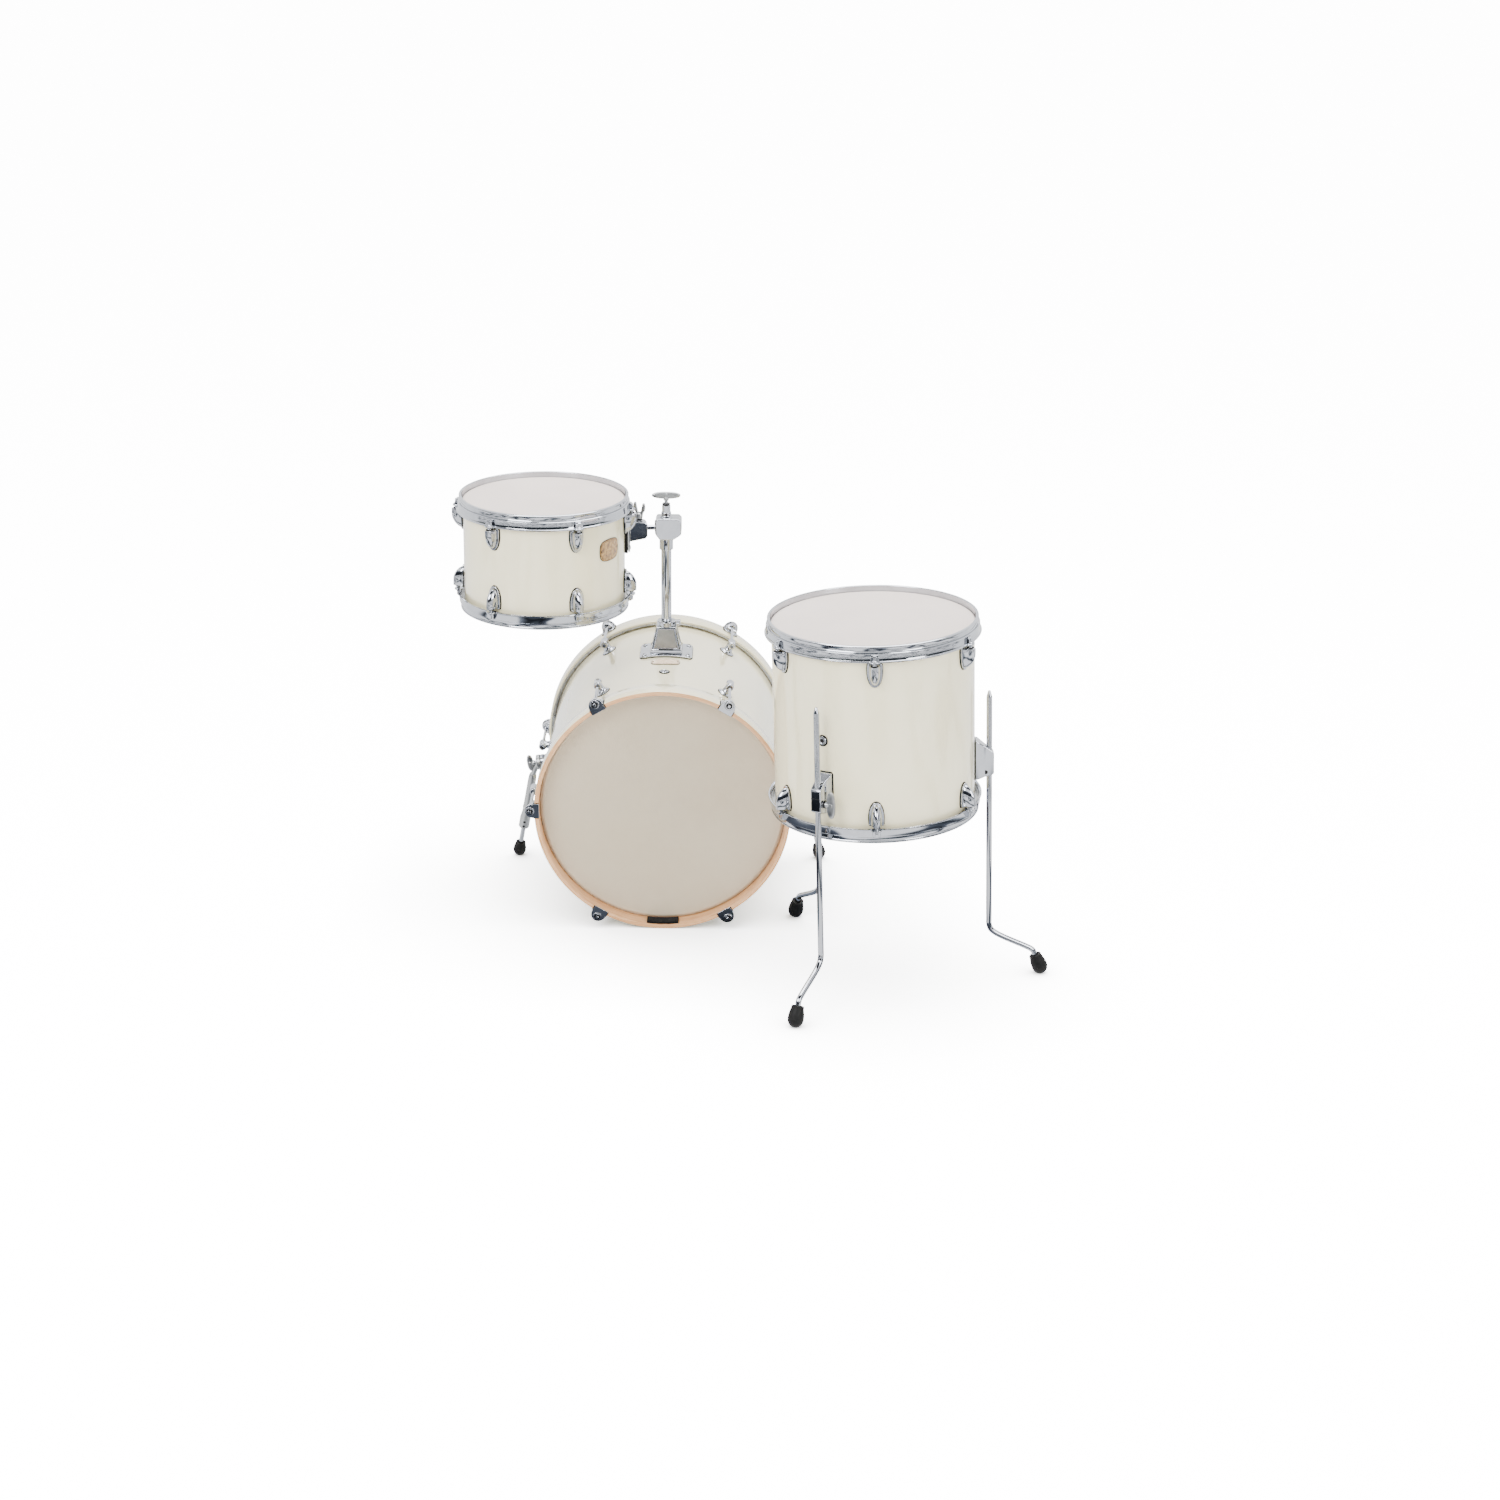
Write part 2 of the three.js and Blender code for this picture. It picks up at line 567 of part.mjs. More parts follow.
function legBracket() {
  const body = sideSlab([
    [0.35, 37], [4, 37], [31, 16], [34, 12], [34, -26], [30, -29], [4, -36], [0.35, -36],
  ], 30).translate(0, -floorRadius, 0);
  const taper = slab([[15, -2], [15, 6], [LEG_CHEEK, 18], [LEG_CHEEK, 40],
    [-LEG_CHEEK, 40], [-LEG_CHEEK, 18], [-15, 6], [-15, -2]], 100)
    .rotateX(Math.PI / 2).translate(0, -floorRadius, 0);
  const bore = rod(LEG_DIAMETER / 2 + CLEARANCE, -60, 60, 16).translate(0, -legRadius, 0);
  return cut(common(body, taper), bore);
}

// Leg modelled with outward along -Y; foot ball centre at height z0.
function legRod(z0, aboveBend) {
  const r = LEG_DIAMETER / 2;
  const bend = z0 + BEND_HEIGHT - FOOT_RADIUS;
  const top = bend + aboveBend;
  const shaft = turned([
    [0, bend + 14], [r, bend + 14], [r, top - 11], [2.2, top], [0, top],
  ], 10).translate(0, -legRadius, 0);
  const footY = -legRadius - LEG_SPREAD;
  const lean = new THREE.Vector3(0, Math.sin(footLean), Math.cos(footLean));
  const shin = (distance) => new THREE.Vector3(0, footY, z0).addScaledVector(lean, distance);
  const ankle = shin(33);
  const path = new THREE.CatmullRomCurve3([
    new THREE.Vector3(0, -legRadius, bend + 17),
    new THREE.Vector3(0, -legRadius, bend + 10),
    new THREE.Vector3(0, -legRadius - 4, bend - 2),
    new THREE.Vector3(0, -legRadius - 20, bend - 14),
    new THREE.Vector3(0, ankle.y + 8, ankle.z + 6),
    ankle,
    shin(25),
    shin(14),
    shin(4),
  ], false, 'centripetal');
  const circle = [];
  for (let i = 0; i < 10; i += 1) {
    const a = (2 * Math.PI * (i + 0.5)) / 10;
    circle.push(new THREE.Vector2((r - 0.1) * Math.cos(a), (r - 0.1) * Math.sin(a)));
  }
  const tail = new THREE.ExtrudeGeometry(new THREE.Shape(circle), { steps: 13, extrudePath: path });
  return join(shaft, tail);
}

function legFoot(z0, azimuth) {
  const foot = footBlank(FOOT_RADIUS, 24, LEG_DIAMETER / 2)
    .rotateX(-footLean).translate(0, -legRadius - LEG_SPREAD, z0).rotateZ(deg(azimuth));
  return cut(foot.applyMatrix4(floorFrame), box(-900, 900, -900, 900, -60, 0));
}

// ---------------------------------------------------------------- spurs
// Modelled for +X in the bass frame; mirrored for -X.
function spurGeometry(side) {
  const outward = new THREE.Vector3(
    side * Math.sin(deg(SPUR_ANGLE)), 0, Math.cos(deg(SPUR_ANGLE)));
  const hub = (distance) => outward.clone().multiplyScalar(distance)
    .add(new THREE.Vector3(0, SPUR_STATION, 0));
  const inverse = bassFrame.clone().invert();
  const foot = new THREE.Vector3(side * SPUR_FOOT_X, SPUR_FOOT_Y, SPUR_FOOT_RADIUS - 0.6)
    .applyMatrix4(inverse);
  const shoulder = hub(bassRadius + 37.5).add(new THREE.Vector3(side * 4, 7, -24));
  const axis = foot.clone().sub(shoulder).normalize();
  return { outward, hub, foot, shoulder, axis, length: foot.distanceTo(shoulder) };
}

function spurBracket(side) {
  const { outward, hub } = spurGeometry(side);
  const barrel = aim(turned([
    [0, 0], [19, 0], [19, 4], [SPUR_BARREL_RADIUS, 7], [SPUR_BARREL_RADIUS, 24.7], [0, 24.7],
  ], 16), hub(bassRadius + 0.35), outward);
  return barrel;
}

function spurTube(side) {
  const { outward, hub, shoulder, axis, length } = spurGeometry(side);
  const disc = aim(rod(SPUR_BARREL_RADIUS, 0, 9.5, 16), hub(bassRadius + 25.35), outward);
  const from = hub(bassRadius + 29.8).add(new THREE.Vector3(0, 2, -8));
  const to = shoulder.clone().addScaledVector(axis, 10);
  const neck = aim(rod(5, 0, from.distanceTo(to), 10), from, to.clone().sub(from));
  const blockAt = length - 84;
  const tube = aim(turned([
    [0, -3], [5, -3], [SPUR_TUBE_RADIUS, 1], [SPUR_TUBE_RADIUS, blockAt], [10.6, blockAt + 2],
    [10.6, blockAt + 24], [8, blockAt + 29], [0, blockAt + 29],
  ], 14), shoulder, axis);
  const bore = aim(rod(SPUR_ROD_RADIUS + CLEARANCE, 40, length, 10), shoulder, axis);
  return cut(join(disc, neck, tube), bore);
}

function spurRod(side) {
  const { shoulder, axis, length } = spurGeometry(side);
  return aim(rod(SPUR_ROD_RADIUS, length - 120, length - 3, 10), shoulder, axis);
}

function spurFoot(side) {
  const { foot, axis } = spurGeometry(side);
  const ball = footBlank(SPUR_FOOT_RADIUS, 19, SPUR_ROD_RADIUS);
  const seated = aim(ball, foot, axis.clone().negate()).applyMatrix4(bassFrame);
  return cut(seated, box(-900, 900, -900, 900, -60, 0));
}

function spurBolt(side) {
  const { outward, hub } = spurGeometry(side);
  const bolt = ovalBolt(5, 19, 6.5).rotateZ(deg(side > 0 ? -75 : 75));
  return aim(bolt, hub(bassRadius + 34.85), outward);
}

// ---------------------------------------------------------------- assembly
place('bass_shell', bassShell(), 'ivory', bassFrame);
place('bass_batter_head', bassHead(), 'batter', bassFrame);
place('bass_front_head', farSide(bassHead()), 'resonant', bassFrame);
place('bass_batter_hoop', woodHoop(), 'maple', bassFrame);
place('bass_front_hoop', farSide(woodHoop()), 'ivory', bassFrame);
place('bass_pedal_pad', pedalPad(), 'rubber', bassFrame);
place('bass_vent', bassVent(), 'chrome', bassFrame);
place('bass_badge', bassBadge(), 'badge', bassFrame);
place('tom_mount_base', mountBase(), 'chrome', bassFrame);

const baseBolt = ovalBolt(6, 20, 6.5).rotateX(-Math.PI / 2)
  .translate(0, POST_STATION + 21, boltSeat.z);
place('tom_mount_bolt', baseBolt, 'satin', bassFrame);
place('memory_lock', memoryLock(), 'chrome', bassFrame);
place('tom_post', tomPost(), 'chrome', bassFrame);

const clampFrame = bassFrame.clone().multiply(
  new THREE.Matrix4().makeTranslation(ballInBass.x, ballInBass.y, ballInBass.z));
place('ball_clamp', ballClamp(), 'chrome', clampFrame);
place('ball_clamp_bolt', ovalBolt(12, 27, 6.7).translate(0, 0, 43), 'satin', clampFrame);
place('clamp_ball', clampBall(), 'resin', rodFrame);
place('hex_rod', hexRod(), 'chrome', rodFrame);

for (const [name, side] of [['left', -1], ['right', 1]]) {
  place(`spur_bracket_${name}`, spurBracket(side), 'chrome', bassFrame);
  place(`spur_tube_${name}`, spurTube(side), 'satin', bassFrame);
  place(`spur_rod_${name}`, spurRod(side), 'chrome', bassFrame);
  place(`spur_foot_${name}`, spurFoot(side), 'rubber');
  place(`spur_bolt_${name}`, spurBolt(side), 'satin', bassFrame);
}

const tomRadius = TOM_SHELL_OD / 2;
const tomLipFrame = tomFrame.clone().multiply(
  new THREE.Matrix4().makeTranslation(0, 0, TOM_LIP_ABOVE_ROD));
uprightDrum('rack_tom', tomRadius, TOM_SHELL_DEPTH, TOM_LUG_START,
  { azimuth: -123, z: -TOM_LIP_ABOVE_ROD - 43 }, tomLipFrame);
const tomBadge = [[-24, -16], [0, -21], [24, -16], [28, 0], [24, 16], [0, 21], [-24, 16], [-28, 0]];
place('rack_tom_badge', shellBadge(tomRadius, tomBadge, 57, -83), 'badge', tomLipFrame);
place('tom_bracket_gasket', bracketGasket(), 'rubber', tomFrame);
place('tom_bracket', tomBracket(), 'chrome', tomFrame);
const bracketBolt = wingBolt(4, 12.5).rotateZ(deg(50))
  .translate(0, -(plateOuter + 17.5), 14.8).rotateZ(deg(TOM_BRACKET_AZIMUTH));
place('tom_bracket_bolt', bracketBolt, 'satin', tomFrame);

uprightDrum('floor_tom', floorRadius, FLOOR_SHELL_DEPTH, FLOOR_LUG_START,
  { azimuth: -31.5, z: -177 }, floorFrame);
place('floor_tom_badge', shellBadge(floorRadius, tomBadge, 149, -150), 'badge', floorFrame);
LEG_AZIMUTHS.forEach((azimuth, i) => {
  const name = LEG_NAMES[i];
  const turn = deg(azimuth);
  const z0 = footCentre(azimuth);
  const bracket = legBracket().translate(0, 0, -BRACKET_DROP).rotateZ(turn);
  place(`leg_bracket_${name}`, bracket, 'chrome', floorFrame);
  place(`leg_${name}`, legRod(z0, LEG_ABOVE_BEND[i]).rotateZ(turn), 'chrome', floorFrame);
  place(`leg_foot_${name}`, legFoot(z0, azimuth), 'rubber');
  const bolt = ovalBolt(6, 24, 8).rotateY(Math.PI / 2)
    .translate(LEG_CHEEK, -legRadius + 3, -BRACKET_DROP - 14).rotateZ(turn);
  place(`leg_bolt_${name}`, bolt, 'satin', floorFrame);
});

// ---------------------------------------------------------------- shared origin
const extent = new THREE.Box3().setFromObject(kit);
const middle = extent.getCenter(new THREE.Vector3());
for (const mesh of kit.children) {
  mesh.geometry.translate(-middle.x, -middle.y, -extent.min.z);
}

export default kit;
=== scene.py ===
"""Three-drum jazz kit: bass drum on spurs, rack tom on a ball clamp and floor tom on three legs."""
import json
import logging
import math
from dataclasses import dataclass
from enum import Enum
from typing import Callable, Sequence

import bpy
from mathutils import Matrix, Vector


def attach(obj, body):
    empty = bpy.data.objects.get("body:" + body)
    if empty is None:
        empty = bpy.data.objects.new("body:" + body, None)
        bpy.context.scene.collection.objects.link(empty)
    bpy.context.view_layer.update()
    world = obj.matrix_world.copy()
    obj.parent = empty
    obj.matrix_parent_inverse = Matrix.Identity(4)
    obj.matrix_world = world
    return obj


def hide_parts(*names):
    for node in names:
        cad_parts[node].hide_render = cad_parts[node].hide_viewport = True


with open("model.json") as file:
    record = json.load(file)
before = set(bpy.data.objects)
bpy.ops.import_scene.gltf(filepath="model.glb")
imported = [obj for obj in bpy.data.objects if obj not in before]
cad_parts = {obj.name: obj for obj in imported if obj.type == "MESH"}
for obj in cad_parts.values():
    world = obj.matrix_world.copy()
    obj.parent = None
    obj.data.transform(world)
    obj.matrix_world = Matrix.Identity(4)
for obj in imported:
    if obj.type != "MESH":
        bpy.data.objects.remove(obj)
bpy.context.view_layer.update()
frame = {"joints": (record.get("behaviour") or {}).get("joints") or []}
log = logging.getLogger("jazz_kit")
MM = 0.001
Point = tuple[float, float, float]
Flat = tuple[float, float]


# ------------------------------------------------------------------ node helper and finishes
def linear(code: str) -> tuple[float, float, float, float]:
    """Turns an sRGB hex value into a linear RGBA colour.

    Args:
        code: Six hex digits, with or without a leading hash.

    Returns:
        The linear colour with full alpha.
    """
    values = [int(code.lstrip("#")[i:i + 2], 16) / 255 for i in (0, 2, 4)]
    linear_rgb = [v / 12.92 if v <= 0.04045 else ((v + 0.055) / 1.055) ** 2.4 for v in values]
    return (*linear_rgb, 1.0)


def add_node(tree: bpy.types.NodeTree, kind: str, values: dict | None = None,
             links: dict | None = None, **settings: object) -> bpy.types.Node:
    """Adds one shader node with its settings, socket values and incoming links.

    Args:
        tree: Node tree that receives the node.
        kind: Blender's node type name.
        values: Default values by input name or index.
        links: Output sockets to link, by input name or index.
        settings: Attributes set on the node itself.

    Returns:
        The new node.
    """
    node = tree.nodes.new(kind)
    for name, value in settings.items():
        setattr(node, name, value)
    for name, value in (values or {}).items():
        node.inputs[name].default_value = value
    for name, socket in (links or {}).items():
        tree.links.new(socket, node.inputs[name])
    return node


def ramp(tree: bpy.types.NodeTree, source: bpy.types.NodeSocket,
         stops: Sequence[tuple[float, str]]) -> bpy.types.NodeSocket:
    """Adds a colour ramp with hex stops.

    Args:
        tree: Node tree that receives the ramp.
        source: Value that the ramp reads.
        stops: Places from 0 to 1, each with its hex colour.

    Returns:
        The ramp's colour output.
    """
    node = add_node(tree, "ShaderNodeValToRGB", links={"Fac": source})
    bar = node.color_ramp.elements
    while len(bar) < len(stops):
        bar.new(0.5)
    for element, (place, code) in zip(bar, stops):
        element.position = place
        element.color = linear(code)
    return node.outputs["Color"]


def span(tree: bpy.types.NodeTree, source: bpy.types.NodeSocket, low: float,
         high: float) -> bpy.types.NodeSocket:
    """Maps a 0.3 to 0.7 pattern onto a low to high range and returns the result."""
    node = add_node(tree, "ShaderNodeMapRange", links={"Value": source},
                    values={"From Min": 0.3, "From Max": 0.7, "To Min": low, "To Max": high})
    return node.outputs["Result"]


@dataclass(frozen=True)
class Finish:
    """Base of every finish: a Principled surface with a pattern read in object space.

    Attributes:
        title: Name of the material.
        slot: Material slot of the record that pieces take this finish from.
        colours: Hex stops of the base colour, low to high.
        metallic: Metallic value.
        rough: Lowest and highest roughness.
        patch_mm: Size of the slow colour and roughness variation.
        grit_mm: Size of the fine surface relief.
        relief: Bump strength of the fine relief.
        depth_mm: Height of the fine relief.
        coat: Clear coat weight.
        coat_rough: Clear coat roughness.
        ior: Index of refraction.
    """

    title: str
    slot: str
    colours: tuple[tuple[float, str], ...]
    metallic: float = 0.0
    rough: tuple[float, float] = (0.3, 0.4)
    patch_mm: float = 60.0
    grit_mm: float = 1.0
    relief: float = 0.1
    depth_mm: float = 0.05
    coat: float = 0.0
    coat_rough: float = 0.05
    ior: float = 1.5

    def place(self, tree: bpy.types.NodeTree) -> bpy.types.NodeSocket:
        """Returns the coordinates that the pattern reads."""
        return add_node(tree, "ShaderNodeTexCoord").outputs["Object"]

    def pattern(self, tree: bpy.types.NodeTree, where: bpy.types.NodeSocket,
                size_mm: float, detail: float = 3.0) -> bpy.types.NodeSocket:
        """Adds a noise whose features are about size_mm across.

        Args:
            tree: Node tree that receives the noise.
            where: Coordinates that it reads.
            size_mm: Size of a feature in millimetres.
            detail: Octaves of finer noise on top.

        Returns:
            The noise value.
        """
        noise = add_node(tree, "ShaderNodeTexNoise", links={"Vector": where},
                         values={"Scale": 1000.0 / size_mm, "Detail": detail,
                                 "Roughness": 0.55})
        return noise.outputs["Fac"]

    def colour(self, tree: bpy.types.NodeTree, where: bpy.types.NodeSocket,
               slow: bpy.types.NodeSocket) -> bpy.types.NodeSocket:
        """Returns the base colour socket."""
        return ramp(tree, slow, self.colours)

    def height(self, tree: bpy.types.NodeTree,
               where: bpy.types.NodeSocket) -> bpy.types.NodeSocket:
        """Returns the fine relief."""
        return self.pattern(tree, where, self.grit_mm, 2.0)

    def material(self) -> bpy.types.Material:
        """Builds the material once and returns it.

        Returns:
            The finished material, shared by every piece with this finish.
        """
        known = bpy.data.materials.get(self.title)
        if known:
            return known
        made = bpy.data.materials.new(self.title)
        made.use_nodes = True
        tree = made.node_tree
        tree.nodes.clear()
        where = self.place(tree)
        slow = self.pattern(tree, where, self.patch_mm)
        bump = add_node(tree, "ShaderNodeBump", links={"Height": self.height(tree, where)},
                        values={"Strength": self.relief, "Distance": self.depth_mm * MM})
        shader = add_node(
            tree, "ShaderNodeBsdfPrincipled",
            values={"Metallic": self.metallic, "Coat Weight": self.coat,
                    "Coat Roughness": self.coat_rough, "IOR": self.ior},
            links={"Base Color": self.colour(tree, where, slow),
                   "Roughness": span(tree, slow, *self.rough),
                   "Normal": bump.outputs["Normal"]})
        self.extras(shader)
        add_node(tree, "ShaderNodeOutputMaterial", links={"Surface": shader.outputs["BSDF"]})
        return made

    def extras(self, shader: bpy.types.Node) -> None:
        """Sets anything further on the shader itself."""


@dataclass(frozen=True)
class HoopMaple(Finish):
    """Steam-bent maple plies: long grain that follows the hoop, read from its own UV map.

    Attributes:
        grain_mm: Width of a grain line.
        run_mm: Length of a grain line.
    """

    grain_mm: float = 1.6
    run_mm: float = 60.0

    def place(self, tree: bpy.types.NodeTree) -> bpy.types.NodeSocket:
        """Returns the UV map stretched so the grain runs round the hoop."""
        uv = add_node(tree, "ShaderNodeUVMap", uv_map="grain")
        scaled = add_node(tree, "ShaderNodeMapping", links={"Vector": uv.outputs["UV"]},
                          values={"Scale": (self.grain_mm / self.run_mm, 1.0, 1.0)})
        return scaled.outputs["Vector"]

    def colour(self, tree: bpy.types.NodeTree, where: bpy.types.NodeSocket,
               slow: bpy.types.NodeSocket) -> bpy.types.NodeSocket:
        """Mixes broad grain colour with a darker tint along the fine pores.

        Args:
            tree: Node tree of the material.
            where: Coordinates that run with the grain.
            slow: Slow pattern of the base finish, not used for wood.

        Returns:
            The mixed colour.
        """
        broad = ramp(tree, self.pattern(tree, where, self.grain_mm * 3, 4.0), self.colours)
        pores = ramp(tree, self.pattern(tree, where, self.grain_mm * 0.6, 2.0),
                     ((0.36, "#C9A784"), (0.5, "#FFFFFF")))
        mix = add_node(tree, "ShaderNodeMix", data_type="RGBA", blend_type="MULTIPLY",
                       values={0: 0.55})
        tree.links.new(broad, mix.inputs[6])
        tree.links.new(pores, mix.inputs[7])
        return mix.outputs[2]


@dataclass(frozen=True)
class HeadFilm(Finish):
    """Polyester film: a little light passes through and scatters behind it.

    Attributes:
        subsurface: Weight of the scattered light.
    """

    subsurface: float = 0.0

    def extras(self, shader: bpy.types.Node) -> None:
        """Lets light scatter a few millimetres inside the film."""
        shader.inputs["Subsurface Weight"].default_value = self.subsurface
        shader.inputs["Subsurface Radius"].default_value = (1.0, 0.9, 0.8)
        shader.inputs["Subsurface Scale"].default_value = 0.006


# Polyester lacquer, sprayed and buffed over birch and maple: deep gloss with faint orange peel.
IVORY = Finish("ivory_gloss_lacquer", "ivory_lacquer",
               ((0.3, "#E4DBB8"), (0.7, "#E8E0C0")), rough=(0.16, 0.22), patch_mm=140,
               grit_mm=5, relief=0.05, depth_mm=0.05, coat=1.0, coat_rough=0.04)
# Steam-bent maple under satin lacquer.
MAPLE = HoopMaple("steam_bent_maple", "natural_maple",
                  ((0.3, "#C08A58"), (0.5, "#CF9F70"), (0.72, "#D9AE80")), rough=(0.3, 0.42),
                  patch_mm=40, grit_mm=1.2, relief=0.15, depth_mm=0.05, coat=0.4, coat_rough=0.2)
# Frosted polyester: a sprayed matte coat whose grit is drawn a little coarser than life.
COATED = HeadFilm("frosted_polyester_film", "coated_film",
                  ((0.3, "#D6C8BF"), (0.7, "#DCCFC7")), rough=(0.5, 0.62), patch_mm=90,
                  grit_mm=0.8, relief=0.25, depth_mm=0.05, subsurface=0.15)
# Smooth warm translucent film of the pedal side.
SMOOTH = HeadFilm("smooth_polyester_film", "coated_film",
                  ((0.3, "#B5A68D"), (0.7, "#BBAD96")), rough=(0.42, 0.5), patch_mm=180,
                  grit_mm=1.5, relief=0.12, depth_mm=0.05, subsurface=0.15)
# Thin clear film of the lower heads: glossier and cooler.
CLEAR = HeadFilm("clear_polyester_film", "clear_film",
                 ((0.3, "#C8C4BD"), (0.7, "#D2CEC8")), rough=(0.2, 0.28), patch_mm=90,
                 grit_mm=3, relief=0.08, depth_mm=0.05, subsurface=0.1)
# Bright nickel-chrome plate over steel: mirror with the slightest haze from polishing.
CHROME = Finish("polished_chrome_plate", "bright_chrome",
                ((0.3, "#B0B3B9"), (0.7, "#BCBFC5")), metallic=1.0, rough=(0.05, 0.11),
                patch_mm=25, grit_mm=6, relief=0.04, depth_mm=0.03)
# Zinc casting tumbled and satin plated: soft grey sheen.
SATIN = Finish("satin_plated_zinc", "satin_metal",
               ((0.3, "#A6A8A9"), (0.7, "#B4B6B6")), metallic=1.0, rough=(0.28, 0.4),
               patch_mm=14, grit_mm=0.9, relief=0.12, depth_mm=0.03)
# Aluminium flesh ring, rolled and brushed.
RING = Finish("brushed_aluminium_ring", "satin_metal",
              ((0.3, "#B9BBBC"), (0.7, "#C9CBCC")), metallic=1.0, rough=(0.25, 0.35),
              patch_mm=20, grit_mm=0.8, relief=0.1, depth_mm=0.03)
# Moulded nitrile rubber: black, soft sheen, fine mould texture.
RUBBER = Finish("moulded_black_rubber", "black_rubber",
                ((0.3, "#060606"), (0.7, "#0B0B0B")), rough=(0.5, 0.68), patch_mm=12,
                grit_mm=0.8, relief=0.25, depth_mm=0.06, ior=1.3)
# Glass-filled nylon: harder and a little shinier than the rubber.
RESIN = Finish("glass_filled_nylon", "black_resin",
               ((0.3, "#050506"), (0.7, "#09090B")), rough=(0.32, 0.45), patch_mm=10,
               grit_mm=0.7, relief=0.15, depth_mm=0.04)
# Printed burl veneer under clear enamel on the badge plate.
BURL = Finish("burl_enamel", "badge_metal",
              ((0.28, "#543A18"), (0.45, "#8E6A35"), (0.6, "#A98448"), (0.75, "#7A5829")),
              rough=(0.22, 0.3), patch_mm=6, grit_mm=3, relief=0.05, depth_mm=0.03,
              coat=0.6, coat_rough=0.08)
# Paler maple enamel on the bass badge.
PALE_BURL = Finish("pale_maple_enamel", "badge_metal",
                   ((0.3, "#E2C3A2"), (0.7, "#EFD8BC")), rough=(0.22, 0.3), patch_mm=7,
                   grit_mm=3, relief=0.05, depth_mm=0.03, coat=0.6, coat_rough=0.08)
# Dark bronzed edge and pins of the badges.
BRONZE = Finish("bronzed_brass", "badge_metal",
                ((0.3, "#1E140B"), (0.7, "#2C2014")), metallic=0.8, rough=(0.3, 0.42),
                patch_mm=5, grit_mm=0.8, relief=0.1, depth_mm=0.03)
# Painted shade inside sockets, holes, slots and recesses: flat black that stands in for the shade
# falling there.
RECESS_SHADE = Finish("painted_recess_shade", "black_resin",
                ((0.3, "#060606"), (0.7, "#0B0B0B")), rough=(0.6, 0.75), patch_mm=5,
                grit_mm=0.8, relief=0.1, depth_mm=0.03)


# ------------------------------------------------------------------ workbench
class Side(Enum):
    LEFT = -1
    RIGHT = 1


class DrumEnd(Enum):
    """Which end of a drum a piece belongs to."""

    STRUCK = "struck"
    FAR = "far"


def object_mode() -> None:
    """Leaves edit mode and deselects everything."""
    if bpy.context.object and bpy.context.object.mode != "OBJECT":
        bpy.ops.object.mode_set(mode="OBJECT")
    bpy.ops.object.select_all(action="DESELECT")


def take(piece: bpy.types.Object) -> None:
    """Makes a piece the only selected and active object."""
    object_mode()
    piece.select_set(True)
    bpy.context.view_layer.objects.active = piece


def edit(piece: bpy.types.Object, select: str = "SELECT") -> None:
    """Enters edit mode on a piece with everything selected or deselected."""
    take(piece)
    bpy.ops.object.mode_set(mode="EDIT")
    bpy.ops.mesh.select_all(action=select)


def start_point(name: str, point: Point) -> bpy.types.Object:
    """Adds a plane, merges it to one vertex at a point and stays in edit mode.

    Args:
        name: Name of the new piece.
        point: Where the vertex goes, in millimetres.

    Returns:
        The piece, in edit mode with its vertex selected.
    """
    object_mode()
    bpy.ops.mesh.primitive_plane_add(size=MM)
    piece = bpy.context.object
    piece.name = name
    piece.data.name = name
    bpy.ops.object.mode_set(mode="EDIT")
    bpy.ops.mesh.select_all(action="SELECT")
    bpy.ops.mesh.merge(type="CENTER")
    bpy.ops.transform.translate(value=Vector(point) * MM)
    return piece


def chain(name: str, points: Sequence[Point]) -> bpy.types.Object:
    """Draws an open chain of edges and stays in edit mode with all of it selected.

    Args:
        name: Name of the new piece.
        points: Points in millimetres.

    Returns:
        The piece, in edit mode.
    """
    piece = start_point(name, points[0])
    for before, after in zip(points, points[1:]):
        step = (Vector(after) - Vector(before)) * MM
        bpy.ops.mesh.extrude_vertices_move(TRANSFORM_OT_translate={"value": step})
    bpy.ops.mesh.select_all(action="SELECT")
    return piece


def tidy_mesh(smooth: float = 35.0) -> None:
    """Merges doubles, turns faces outward and shades the active piece smooth by angle.

    Args:
        smooth: Sharpest angle in degrees that is still shaded smooth.
    """
    bpy.ops.mesh.select_all(action="SELECT")
    bpy.ops.mesh.remove_doubles(threshold=2e-6)
    bpy.ops.mesh.normals_make_consistent(inside=False)
    bpy.ops.object.mode_set(mode="OBJECT")
    bpy.ops.object.shade_smooth_by_angle(angle=math.radians(smooth))


def turned(name: str, profile: Sequence[Flat], steps: int = 32, arc: float = 360.0,
           start: float = 0.0, edge: float = 0.0) -> bpy.types.Object:
    """Spins a closed [radius, height] profile about Z.

    Args:
        name: Name of the piece.
        profile: Corners of the section in millimetres, without repeating the first.
        steps: Steps of the spin.
        arc: Degrees that the spin covers.
        start: Degrees at which it begins, from +X.
        edge: Width of the rolled edge bevel, in millimetres.

    Returns:
        The closed piece in object mode.
    """
    loop = [(r, 0.0, z) for r, z in (*profile, profile[0])]
    piece = chain(name, loop)
    bpy.ops.mesh.spin(steps=steps, angle=math.radians(arc), center=(0, 0, 0), axis=(0, 0, 1))
    bpy.ops.mesh.select_all(action="SELECT")
    bpy.ops.mesh.remove_doubles(threshold=2e-6)
    if arc < 360:
        bpy.ops.mesh.select_all(action="DESELECT")
        bpy.ops.mesh.select_non_manifold()
        bpy.ops.mesh.edge_face_add()
        bpy.ops.mesh.select_all(action="SELECT")
        bpy.ops.mesh.fill_holes(sides=0)
    tidy_mesh()
    # Blender's spin starts at +X; the seam is turned where it is wanted.
    turn(piece, start, "Z")
    if edge:
        bevel(piece, edge)
    return piece


def turn(piece: bpy.types.Object, degrees: float, axis: str) -> None:
    """Turns a piece about a world axis through the origin and applies it."""
    settle(piece, Matrix.Rotation(math.radians(degrees), 4, axis))


